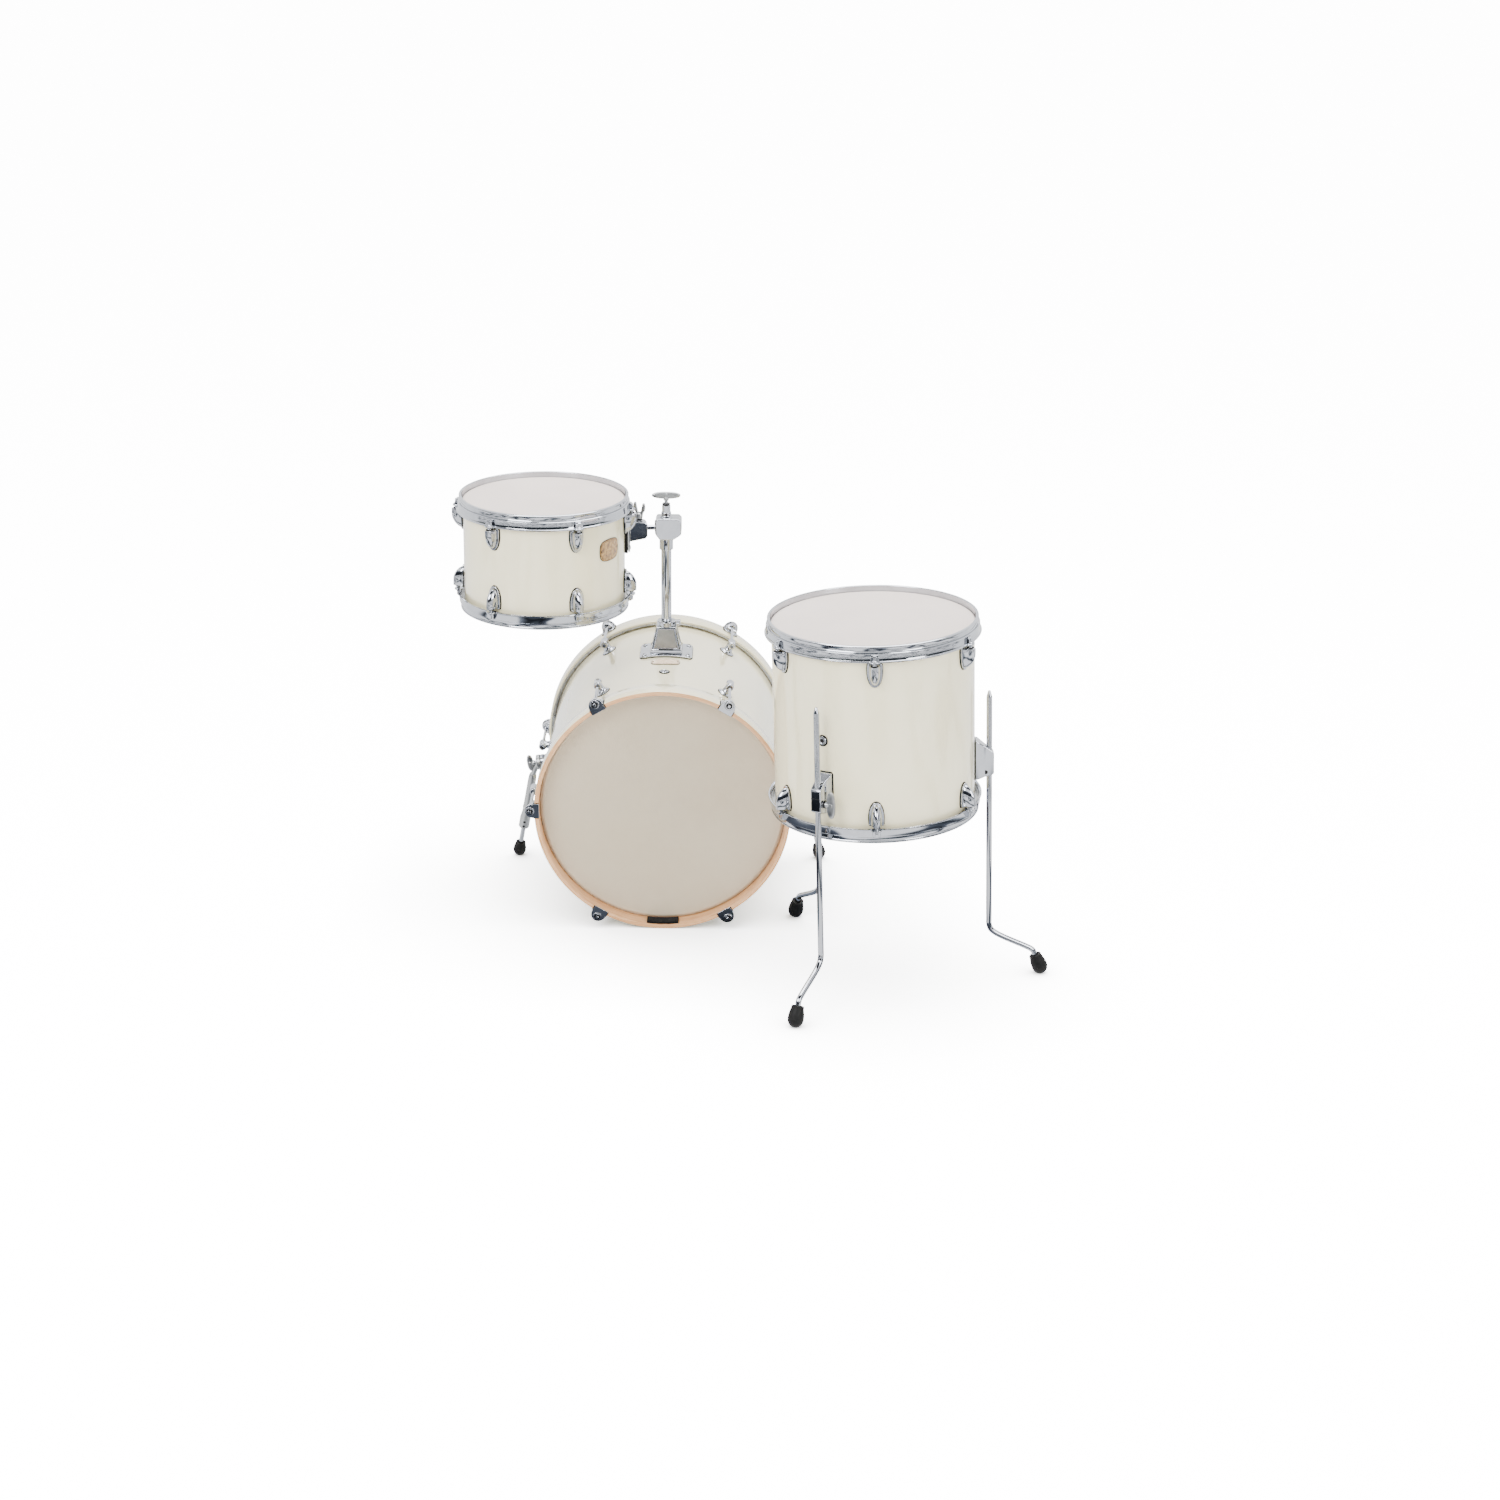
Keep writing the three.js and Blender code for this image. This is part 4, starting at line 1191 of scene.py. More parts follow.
    def bullet(self, grow: float) -> list[Flat]:
        """Draws the lug's bullet outline, its square end at y = 0.

        Args:
            grow: Margin added all round, in millimetres.

        Returns:
            The outline's corners.
        """
        half = [(9.5, 0.6), (12.2, -0.4), (13.2, -3.5), (13.4, -10), (13.1, -18),
                (12.0, -26), (9.8, -33.5), (6.6, -38.8), (3.2, -41.4)]
        grown = []
        for x, y in half:
            out = Vector((x, y + 18)).normalized() * grow
            grown.append((x + out.x, y + out.y))
        mirrored = [(-x, y) for x, y in reversed(grown)]
        return grown + [(0, -42 - grow)] + mirrored

    def lug_pattern(self) -> tuple[bpy.types.Object, bpy.types.Object]:
        """Lug casting and its gasket at the origin, outward along -Y, square end up.

        Returns:
            The casting and the rubber gasket.
        """
        foot = dress(plate("lug", self.bullet(0), 3.2, 0.9, 3), CHROME)
        shift(foot, z=1.0)
        body = loft("lug_body", [(x * 0.78, y * 0.9 - 1.2) for x, y in self.bullet(0)],
                    [(4.0, 0.97, 0.97), (8.5, 0.88, 0.9), (13.5, 0.72, 0.77),
                     (17.5, 0.5, 0.6), (20, 0.3, 0.42)], (0, -2.2), edge=0.9, segments=3)
        shift(dress(body, CHROME), z=2.4)
        casting = settle(merge("lug", foot, body), OUTWARD)
        nut = turned("nut", [(3.0, -4), (4.6, -4), (4.6, 1.4), (4.0, 2.0), (3.0, 2.0)], 24,
                     edge=0.25)
        dress(shift(nut, y=-self.rod_out, z=-0.2), CHROME)
        # Painted shade: a black disc where the rod enters the lug stands in for the shade in its
        # threaded hole.
        mouth = turned("mouth", [(0, -1), (6.2, -1), (6.2, -0.1), (0, -0.1)], 24)
        dress(shift(mouth, y=-self.rod_out, z=0.15), RECESS_SHADE)
        whole = merge("lug", casting, nut, mouth)
        gasket = plate("gasket", self.bullet(1.2), 1.9, 0.4)
        shift(gasket, z=-0.7)
        settle(gasket, OUTWARD)
        return whole, dress(gasket, RUBBER)

    def lug_sets(self) -> None:
        """Copies the lug, its gasket and its tension rod to every station."""
        lug, gasket = self.lug_pattern()
        seat = -self.rim_height + 3.4
        rod = FIT.key_rod("rod", seat - self.lug_top + 8)
        for which in DrumEnd:
            for i, azimuth in enumerate(self.azimuths(which)):
                station = self.end(which) @ around(azimuth)
                on_shell = station @ moved(y=-self.radius, z=self.lug_top)
                tag = f"{self.name}_{which.value}"
                fit(twin(gasket, f"{tag}_lug_gasket_{i + 1}", on_shell), self.body)
                fit(twin(lug, f"{tag}_lug_{i + 1}", on_shell), self.body)
                place = station @ moved(y=-self.radius - self.rod_out, z=seat)
                fit(twin(rod, f"{tag}_key_rod_{i + 1}", place), self.body)
        discard(lug, gasket, rod)

    def trim(self) -> None:
        """Adds the vent and the badge."""
        azimuth, z = self.vent_at
        vent = FIT.vent(f"{self.name}_air_vent", self.wall + 0.5)
        settle(vent, self.place @ around(azimuth) @ moved(y=-self.radius - 0.4, z=z) @ OUTWARD)
        fit(vent, self.body, f"{self.name}_vent")
        azimuth, z = self.badge_at
        badge = FIT.badge(f"{self.name}_badge_plate", self.radius, BURL)
        settle(badge, self.place @ around(azimuth) @ moved(y=-self.radius - 0.3, z=z))
        fit(badge, self.body, f"{self.name}_badge")

    def build(self) -> None:
        """Builds the whole drum."""
        self.shell()
        for which in DrumEnd:
            self.head(which)
            self.rim(which)
        self.lug_sets()
        self.trim()


# ------------------------------------------------------------------ bass drum
def inlay(piece: bpy.types.Object, finish: Finish,
          chosen: Callable[[bpy.types.MeshPolygon], bool]) -> bpy.types.Object:
    """Gives the chosen faces of a dressed piece a second finish.

    Args:
        piece: The dressed piece.
        finish: The second finish.
        chosen: Test that says which faces take it.

    Returns:
        The same piece.
    """
    piece.data.materials.append(finish.material())
    for face in piece.data.polygons:
        if chosen(face):
            face.material_index = len(piece.data.materials) - 1
    return piece


def grain_map(piece: bpy.types.Object, radius: float) -> bpy.types.Object:
    """Writes a UV map that runs round a hoop whose axis is Z, in metres of its surface.

    Args:
        piece: Hoop spun about Z.
        radius: Radius at which the angle is measured, in millimetres.

    Returns:
        The same piece.
    """
    layer = piece.data.uv_layers.get("grain") or piece.data.uv_layers.new(name="grain")
    for face in piece.data.polygons:
        first = math.atan2(face.center.x, face.center.y)
        for loop in face.loop_indices:
            place = piece.data.vertices[piece.data.loops[loop].vertex_index].co
            angle = math.atan2(place.x, place.y)
            angle += 2 * math.pi * round((first - angle) / (2 * math.pi))
            across = math.hypot(place.x, place.y) + place.z
            layer.data[loop].uv = (angle * radius * MM, across)
    return piece


@dataclass
class BassDrum:
    """Bass drum lying on its side, with wooden hoops held by twelve claws, millimetres."""

    radius: float = BASS_RADIUS
    length: float = BASS_LENGTH
    edge_at: float = 28.5
    wall: float = 7.0
    hoop_in: float = 229.6
    hoop_out: float = 238.1
    lug_station: float = 104.0
    rod_at: float = 246.0
    vent_station: float = 135.0
    badge_station: float = 190.0
    claw_angles: tuple[float, ...] = (30, 90, 150, -150, -90, -30)
    body: str = "bass_drum"

    def end(self, which: DrumEnd) -> Matrix:
        """Returns the frame of one end, Y running into the drum from the hoop's edge."""
        if which is DrumEnd.STRUCK:
            return BASS
        return BASS @ moved(y=self.length) @ around(180)

    def shell(self) -> None:
        """Lacquered shell with bearing edges, vent hole and post hole."""
        r, a, b = self.radius, self.edge_at, self.length - self.edge_at
        skin = turned("bass_shell_lacquered", [
            (r - 3.5, a), (r, a + 4), (r, b - 4), (r - 3.5, b), (r - self.wall, b - 5),
            (r - self.wall, a + 5)], 180)
        settle(skin, ALONG)
        vent = settle(turned("hole", [(0, -12), (5.3, -12), (5.3, 6), (0, 6)], 24),
                      moved(y=self.vent_station, z=r))
        post = settle(turned("hole", [(0, -14), (12.25, -14), (12.25, 8), (0, 8)], 40),
                      moved(y=POST_STATION, z=r))
        drill(skin, vent, post)
        fit(dress(settle(skin, BASS), IVORY), self.body, "bass_shell")

    def head(self, which: DrumEnd) -> None:
        """Makes one head: a film that dips just inside the hoop, and its ring.

        Args:
            which: The end that it covers.
        """
        finish = SMOOTH if which is DrumEnd.STRUCK else CLEAR
        skin = turned(f"bass_{which.value}_film", [
            (0, 27.2), (218.5, 27.2), (220.5, 26.9), (222.6, 26.7), (224.4, 27.6),
            (227.6, 29.6), (228.9, 31.4), (229.1, 36.4), (228.6, 36.4), (227.9, 32.2),
            (223.4, 28.2), (218.5, 27.7), (0, 27.7)], 160)
        settle(skin, self.end(which) @ ALONG)
        node = "batter" if which is DrumEnd.STRUCK else "front"
        fit(dress(skin, finish), self.body, f"bass_{node}_head")
        ring = turned(f"bass_{which.value}_flesh_ring", [
            (228.4, 36.1), (233.6, 36.1), (233.6, 44.4), (232.2, 44.4), (232.2, 37.6),
            (228.4, 37.6)], 120, edge=0.3)
        settle(ring, self.end(which) @ ALONG)
        fit(dress(ring, RING), self.body)

    def hoop(self, which: DrumEnd) -> None:
        """Makes a steam-bent hoop with rolled edges, lacquered on its outside.

        Args:
            which: The struck hoop shows its wood inside, the far one is lacquered all over.
        """
        a, b = self.hoop_in, self.hoop_out
        wood = turned(f"bass_{which.value}_hoop", [
            (a, 1.4), (a + 0.5, 0.4), (a + 1.6, 0), (b - 1.8, 0), (b - 0.5, 0.5), (b, 1.8),
            (b, 40.4), (b - 0.6, 41.6), (b - 1.8, 42), (234.0, 42), (233.9, 35.8),
            (a, 35.7)], 180)
        grain_map(wood, b)
        if which is DrumEnd.STRUCK:
            dress(wood, MAPLE)
            inlay(wood, IVORY, lambda f: math.hypot(f.center.x, f.center.y) > (b - 1.0) * MM)
        else:
            dress(wood, IVORY)
        settle(wood, self.end(which) @ ALONG)
        node = "batter" if which is DrumEnd.STRUCK else "front"
        fit(wood, self.body, f"bass_{node}_hoop")

    def claw_pattern(self) -> tuple[bpy.types.Object, bpy.types.Object]:
        """Claw hook at the top of the drum and its rubber lining.

        Returns:
            The chrome claw and the lining.
        """
        face = [(-13.6, 228.9), (-12.6, 228.3), (12.6, 228.3), (13.6, 228.9), (14, 231),
                (14, 241), (13.2, 245), (11.0, 249.6), (7.6, 253.2), (3.8, 255.1), (0, 255.7),
                (-3.8, 255.1), (-7.6, 253.2), (-11.0, 249.6), (-13.2, 245), (-14, 241),
                (-14, 231)]
        front = plate("claw", face, 2.4, 0.8, 3)
        settle(front, OUTWARD @ moved(z=0.1))
        # The saddle follows the hoop: its outline is [across, along the drum].
        saddle = plate("saddle", [(-14, -1.6), (14, -1.6), (13.8, 17), (12.4, 22.5),
                                  (8.6, 25.6), (-8.6, 25.6), (-12.4, 22.5), (-13.8, 17)],
                       2.6, 0.9, 3)
        settle(saddle, OUTWARD)
        bend_round(saddle, self.hoop_out + 0.5, 7)
        settle(saddle, moved(z=self.hoop_out + 0.5) @ ALONG)
        bridge = loft("bridge", [(-12.6, -0.6), (12.6, -0.6), (11.6, 17), (-11.6, 17)],
                      [(3.5, 0.95, 0.95), (8, 0.74, 0.72), (11.5, 0.55, 0.45)], (0, 0), 1.4, 3)
        shift(bridge, z=self.hoop_out + 2.4)
        boss = turned("boss", [(5.6, -5.4), (7.8, -5.4), (8.6, -4.6), (8.8, 0), (8.4, 9),
                               (6.8, 13), (3.2, 14), (3.2, -2.2), (5.6, -2.2)], 36, edge=0.4)
        settle(boss, moved(z=self.rod_at) @ ALONG)
        claw = dress(merge("claw", front, saddle, bridge, boss), CHROME)
        # Painted shade: a black disc at the bottom of the boss's counterbore stands in for the
        # shade round the rod's head.
        well = turned("well", [(0, -2.6), (5.7, -2.6), (5.7, -2.0), (0, -2.0)], 24)
        dress(settle(well, moved(z=self.rod_at) @ ALONG), RECESS_SHADE)
        lining = plate("lining", [(-15.3, -1.4), (15.3, -1.4), (15.3, 21), (12, 24.4),
                                  (-12, 24.4), (-15.3, 21)], 0.9, 0.3)
        settle(lining, OUTWARD)
        bend_round(lining, self.hoop_out, 7)
        settle(lining, moved(z=self.hoop_out) @ ALONG)
        skirt = plate("skirt", [(-15.3, 229.2), (15.3, 229.2), (15.3, 239.2), (-15.3, 239.2)],
                      0.9, 0.3)
        settle(skirt, OUTWARD)
        return merge("claw", claw, well), dress(merge("lining", lining, skirt), RUBBER)

    def key_rod_pattern(self) -> bpy.types.Object:
        """Makes a tension rod along the drum, its square head in the claw's boss.

        Returns:
            The dressed rod at the top of the drum.
        """
        rod = turned("rod", [(0, -2), (4.3, -2), (4.3, -0.6), (2.9, 0), (2.9, 88.6), (0, 88.6)],
                     24, edge=0.25)
        head = loft("head", [(-2.9, -2.9), (2.9, -2.9), (2.9, 2.9), (-2.9, 2.9)],
                    [(5.6, 1, 1), (6.6, 0.84, 0.84)], edge=0.35)
        settle(head, moved(z=-1.6) @ around(180, "X"))
        return dress(settle(merge("rod", rod, head), moved(z=self.rod_at) @ ALONG), CHROME)

    def lug_pattern(self) -> tuple[bpy.types.Object, bpy.types.Object]:
        """Makes a tube lug on a flared base, at the top of the drum.

        Returns:
            The lug and its gasket.
        """
        r, c = self.radius, self.rod_at
        stalk = turned("lug", [(0, r), (13.2, r - 0.4), (13.6, r + 0.8), (13.2, r + 1.8),
                               (10.6, r + 2.9), (8.9, r + 4.6), (7.8, r + 7.4),
                               (7.2, r + 11), (7.0, c), (0, c)], 40, edge=0.2)
        barrel = turned("barrel", [
            (3.4, -15.2), (5.6, -15.2), (6.3, -14.6), (6.6, -12.4), (7.4, -11.4), (7.5, -9.2),
            (7.1, -8.2), (7.1, 8.2), (7.5, 9.2), (7.4, 11.4), (6.6, 12.4), (6.3, 14.6),
            (5.6, 15.2), (3.4, 15.2)], 36, edge=0.2)
        settle(barrel, moved(z=c) @ ALONG)
        lug = dress(merge("lug", stalk, barrel), CHROME)
        shift(lug, y=self.lug_station)
        gasket = turned("gasket", [(0, r - 1), (14.5, r - 1.0), (14.7, r + 0.2),
                                   (14.2, r + 0.9), (0, r + 0.9)], 36, edge=0.2)
        return lug, dress(shift(gasket, y=self.lug_station), RUBBER)

    def hardware(self) -> None:
        """Copies claws, rods and lugs round both ends."""
        claw, lining = self.claw_pattern()
        lug, gasket = self.lug_pattern()
        rod = self.key_rod_pattern()
        for which in DrumEnd:
            for i, angle in enumerate(self.claw_angles):
                place = self.end(which) @ around(angle, "Y")
                for pattern, kind in ((claw, "claw"), (lining, "claw_lining"), (lug, "lug"),
                                      (gasket, "lug_gasket"), (rod, "key_rod")):
                    fit(twin(pattern, f"bass_{which.value}_{kind}_{i + 1}", place), self.body)
        discard(claw, lining, lug, gasket, rod)

    def trim(self) -> None:
        """Adds the pedal pad, the vent and the badge."""
        pad = turned("bass_pedal_pad_rubber", [
            (225.0, 1.2), (229.2, 1.2), (229.2, 24.6), (226.4, 24.6), (225.6, 23.6)],
            20, 15.0, 90 + 7.5)
        bevel(pad, 0.6)
        ribs = [turned("rib", [(224.5, s), (225.6, s - 0.7), (225.6, s + 1.7),
                               (224.5, s + 1.0)], 20, 14.2, 90 + 7.1)
                for s in (4.5, 8.5, 12.5, 16.5, 20.5)]
        settle(merge(pad.name, pad, *ribs), BASS @ ALONG)
        fit(dress(pad, RUBBER), self.body, "bass_pedal_pad")
        vent = FIT.vent("bass_air_vent", self.wall + 0.5)
        settle(vent, BASS @ moved(y=self.vent_station, z=self.radius + 0.1))
        fit(vent, self.body, "bass_vent")
        badge = FIT.badge("bass_badge_plate", self.radius, PALE_BURL, 55, 30)
        settle(badge, BASS @ moved(y=self.badge_station, z=self.radius + 0.2) @ ALONG)
        fit(badge, self.body, "bass_badge")

    def build(self) -> None:
        """Builds the whole drum."""
        self.shell()
        for which in DrumEnd:
            self.head(which)
            self.hoop(which)
        self.hardware()
        self.trim()


# ------------------------------------------------------------------ tom holder
@dataclass
class TomHolder:
    """Mount on the bass drum, post with its memory lock, ball clamp and hex rod, millimetres."""

    radius: float = BASS_RADIUS
    post_radius: float = 9.75
    tower_at: float = 9.0
    tower_rise: float = 43.0
    tower_inset: float = 1.6
    nut_up: float = 257.0
    collar_up: float = 279.4
    clamp_half: float = 20.0
    rod_across: float = 9.0

    def tower_face(self, facing: float, low: float, high: float, sink: float) -> Matrix:
        """Finds the frame of one sloping face of the tower, Z out of the face.

        Args:
            facing: Direction of the face, in degrees.
            low: Distance of the face from the post's axis at its foot.
            high: Distance of the face from the post's axis at its top.
            sink: How deep the frame lies in the face.

        Returns:
            The frame's matrix.
        """
        slope = math.degrees(math.atan2(low - high, self.tower_rise))
        return (around(facing) @ moved(y=-low + self.tower_inset + sink, z=self.tower_at)
                @ around(-slope, "X") @ OUTWARD)

    def mount(self) -> None:
        """Base plate, tapered tower with recessed panels, boss and screws."""
        r = self.radius
        half = [(49.5, 0), (49.5, 30), (47.2, 35), (42, 37.5), (0, 37.5)]
        quarter = half[1:-1]
        outline = (quarter + [(-x, y) for x, y in reversed(quarter)]
                   + [(-x, -y) for x, y in quarter] + [(x, -y) for x, y in reversed(quarter)])
        base = plate("tom_mount_base_plate", outline, 3.2, 0.9, 3)
        settle(base, OUTWARD)
        bend_round(base, r + 0.8, 15)
        settle(base, moved(y=POST_STATION, z=r + 0.8) @ ALONG)
        tower = loft("tower", [(-31, -27), (31, -27), (31, 27), (-31, 27)],
                     [(4.5, 0.97, 0.94), (7, 0.89, 0.86), (47.5, 0.61, 0.67),
                      (50, 0.58, 0.64)], edge=1.1, segments=3)
        broad, narrow = (23.3, 18.1), (27.6, 18.9)
        cutters = []
        for facing, wide_low, wide_high, reach in ((0, 21.5, 14, broad), (180, 21.5, 14, broad),
                                                   (90, 17.5, 13, narrow),
                                                   (270, 17.5, 13, narrow)):
            cutter = plate("cutter", [(-wide_low, 0), (wide_low, 0), (wide_high, 37),
                                      (-wide_high, 37)], 6, 0.6)
            cutters.append(settle(cutter, self.tower_face(facing, *reach, 0.35)))
        drill(tower, *cutters)
        panels = []
        for facing in (0, 180):
            panel = plate("panel", [(-20.6, 0.8), (20.6, 0.8), (13.4, 36.2), (-13.4, 36.2)],
                          0.7, 0.2)
            settle(panel, self.tower_face(facing, *broad, 0.7))
            panels.append(dress(panel, SATIN))
        # Painted shade: a thin black plate on the tower's front stands in for the shade inside its
        # slot.
        slot = plate("slot", [(-15, 0), (15, 0), (13.6, 3.4), (-13.6, 3.4)], 0.8, 0.2)
        settle(slot, moved(y=-22.6, z=4.4) @ around(-7, "X") @ OUTWARD @ moved(z=0.6))
        dress(slot, RECESS_SHADE)
        bore = turned("bore", [(0, -40), (10.3, -40), (10.3, 90), (0, 90)], 40)
        drill(tower, bore)
        place = moved(y=POST_STATION, z=r + 3)
        for piece in (tower, slot, *panels):
            settle(piece, place)
        boss = turned("boss", [(3.4, 10), (8.0, 10), (8.0, 20.4), (7.4, 21), (4.8, 21),
                               (3.4, 20)], 32, edge=0.3)
        settle(boss, moved(y=POST_STATION, z=self.nut_up) @ ALONG)
        screws = []
        for x in (-42, 42):
            for y in (-28, 28):
                angle = x / (r + 4)
                screw = turned("screw", [(0, 0), (4.6, 0), (4.8, 0.8), (4.0, 2.2),
                                         (1.6, 3.0), (0, 3.0)], 24, edge=0.2)
                # Painted shade: black cross plates stand in for the shade in each screw's cross
                # recess.
                drive = plate("drive", [(-2.7, -0.5), (2.7, -0.5), (2.7, 0.5), (-2.7, 0.5)],
                              0.3)
                cross = twin(drive, "cross", around(90))
                drive = dress(merge("drive", drive, cross), RECESS_SHADE)
                shift(drive, z=2.85)
                screw = merge("screw", dress(screw, CHROME), drive)
                settle(screw, moved(y=POST_STATION + y) @ around(math.degrees(angle), "Y")
                       @ moved(z=r + 3.8))
                screws.append(screw)
        for piece in (base, tower, boss):
            dress(piece, CHROME)
        gasket = plate("gasket", [(x * 1.02, y * 1.02) for x, y in outline], 0.9, 0.2)
        settle(gasket, OUTWARD)
        bend_round(gasket, r, 15)
        settle(gasket, moved(y=POST_STATION, z=r) @ ALONG)
        fit(dress(settle(gasket, BASS), RUBBER), "bass_drum")
        whole = merge(base.name, base, tower, slot, boss, *panels, *screws)
        settle(whole, BASS)
        fit(dress_slot(whole, CHROME), "bass_drum", "tom_mount_base")
        bolt = FIT.oval_bolt("tom_mount_wing", 6, 20, 6.5)
        settle(bolt, BASS @ moved(y=POST_STATION + 21.2, z=self.nut_up) @ ALONG)
        fit(dress_slot(bolt, SATIN), "mount_bolt", "tom_mount_bolt")

    def memory(self) -> None:
        """Split collar with its key screw, resting on the tower."""
        ring = turned("collar", [
            (9.9, 0.2), (17.2, 0.2), (18, 1.2), (18, 8.6), (17.0, 9.6), (9.9, 9.6)], 64,
            edge=0.3)
        ear = loft("ear", [(13, -5), (25.6, -5), (27, -3.6), (27, 3.6), (25.6, 5), (13, 5)],
                   [(9.2, 1, 1)], edge=0.8, segments=3)
        shift(ear, z=0.3)
        gap = plate("gap", [(9, -0.8), (30, -0.8), (30, 0.8), (9, 0.8)], 12)
        shift(gap, z=-1)
        collar = drill(ring, twin(gap, "gap", Matrix()))
        ear = drill(ear, gap)
        screw = FIT.key_rod("screw", 9, 3.6)
        settle(screw, moved(x=21.5, y=-5.0, z=4.9) @ OUTWARD)
        whole = merge("memory_lock_collar", dress(collar, CHROME), dress(ear, CHROME), screw)
        settle(whole, BASS @ moved(y=POST_STATION, z=self.collar_up))
        fit(whole, "memory_lock", "memory_lock")

    def post(self) -> None:
        """Chrome down tube with a plugged lower end."""
        r = self.post_radius
        bar = turned("tom_down_tube", [(0, 157.2), (r - 2, 157.2), (r - 0.5, 157.6),
                                       (r, 158.6), (r, 450.5), (0, 450.5)], 48)
        settle(bar, BASS @ moved(y=POST_STATION))
        fit(dress(bar, CHROME), "tom_post", "tom_post")

    def clamp(self) -> None:
        """Faceted clamp housing with its split, mouth, sleeve and nut tower."""
        outline = [(-19, -11), (-12, -20), (14, -20), (26, -12), (29, -9), (29, 15), (24, 20),
                   (-17, 20), (-20, 15)]
        h = self.clamp_half
        body = plate("ball_clamp_housing", outline, 2 * h - 0.8, 1.6, 4)
        settle(body, OUTWARD @ moved(z=-h + 0.4))
        way = (CLAMP.inverted() @ (BALL + ROD_WAY)).normalized()
        aim = way.to_track_quat("Z", "Y").to_matrix().to_4x4()
        mouth = settle(turned("mouth", [(0, 0), (10.5, 0), (13, 45), (0, 45)], 40), aim)
        pocket = turned("pocket", self.ball_section(15.7, 12), 40)
        drill(body, mouth, pocket)
        split = plate("split", [(-30, -0.35), (32, -0.35), (32, 0.35), (-30, 0.35)], 60)
        shift(split, z=-22, y=-6.5)
        splits = [split, twin(split, "split", moved(y=13))]
        drill(body, *splits)
        sleeve = turned("sleeve", [
            (9.8, -43), (12.2, -43), (13, -42), (13, -22), (14.4, -19.6), (15, -17.5),
            (9.8, -17.5)], 48, edge=0.3)
        # Painted shade: a black disc on the sleeve stands in for the shade inside a small hole.
        dot = turned("dot", [(0, 0), (1.9, 0), (1.9, 0.5), (0, 0.5)], 20)
        settle(dot, moved(y=-12.8, z=-31) @ OUTWARD)
        nut = plate("nut", hexagon(8.3), 13.2, 0.7, 3)
        shift(nut, z=29.5)
        collar = turned("collar", [(0, 19), (13, 19), (12.2, 20.8), (10.2, 22.4), (9.5, 24),
                                   (9.5, 29), (8.9, 30), (0, 30)], 48, edge=0.3)
        # Painted shade: a black disc on the nut tower stands in for the shade inside its hole.
        eye = turned("eye", [(0, 0), (3.1, 0), (3.1, 0.5), (0, 0.5)], 20)
        settle(eye, moved(y=-9.4, z=26.2) @ OUTWARD)
        lips = turned("mouth_ring", [(10.9, 0), (13.9, 0), (14.3, 1.0), (13.6, 2.2),
                                     (11.6, 2.2)], 40, edge=0.2)
        settle(lips, aim @ moved(z=18.6))
        parts = [dress(p, CHROME) for p in (body, sleeve, nut, collar)]
        parts += [dress(p, RECESS_SHADE) for p in (dot, eye)]
        whole = merge(body.name, *parts, dress(lips, RUBBER))
        settle(whole, CLAMP)
        fit(dress_slot(whole, CHROME), "tom_post", "ball_clamp")
        bolt = FIT.oval_bolt("ball_clamp_wing", 12, 27, 6.7)
        spacer = turned("spacer", [(3.3, 0.5), (7.4, 0.5), (7.8, 1.4), (7.2, 3.6), (3.3, 3.6)],
                        36, edge=0.3)
        bolt = merge(bolt.name, bolt, dress(spacer, RESIN))
        settle(bolt, CLAMP @ moved(z=43))
        fit(dress_slot(bolt, SATIN), "clamp_bolt", "ball_clamp_bolt")

    def arm(self) -> None:
        """Resin ball and the hex rod that slides in it."""
        rod_frame = Matrix.Translation(BALL) @ TOM.to_3x3().to_4x4() @ around(BRACKET_AZIMUTH
                                                                             - 180)
        ball = turned("clamp_ball_resin", self.ball_section(15, 10), 48)
        # The bore flares to both ends, so the rod can tilt in it.
        flare = turned("flare", [(0, -20), (9.6, -20), (6.3, 0), (9.6, 20), (0, 20)], 40)
        drill(ball, settle(flare, OUTWARD))
        settle(ball, rod_frame)
        fit(dress(ball, RESIN), "clamp_ball", "clamp_ball")
        rod = plate("hex_rod_chrome", self.rod_section(), 60.0, 0.5, 3)
        settle(rod, rod_frame @ OUTWARD @ moved(z=-12))
        fit(dress(rod, CHROME), "hex_rod", "hex_rod")

    def bracket_slab(self, name: str, half: float, heights: Flat, seat: float,
                     thick: float) -> bpy.types.Object:
        """Makes an eight-cornered slab bent round the rack tom, outward along -Y.

        Args:
            name: Name of the piece.
            half: Half of its width.
            heights: Heights of its lower and upper edge.
            seat: Distance of its inner side from the tom's axis.
            thick: Its thickness.

        Returns:
            The bent slab.
        """
        low, high = heights
        cut = 4.5
        outline = [(half, low + cut), (half, high - cut), (half - cut, high),
                   (cut - half, high), (-half, high - cut), (-half, low + cut),
                   (cut - half, low), (half - cut, low)]
        slab = plate(name, outline, thick, 0.9, 3)
        settle(slab, OUTWARD)
        bend_round(slab, seat, 5)
        return settle(slab, moved(y=-seat))

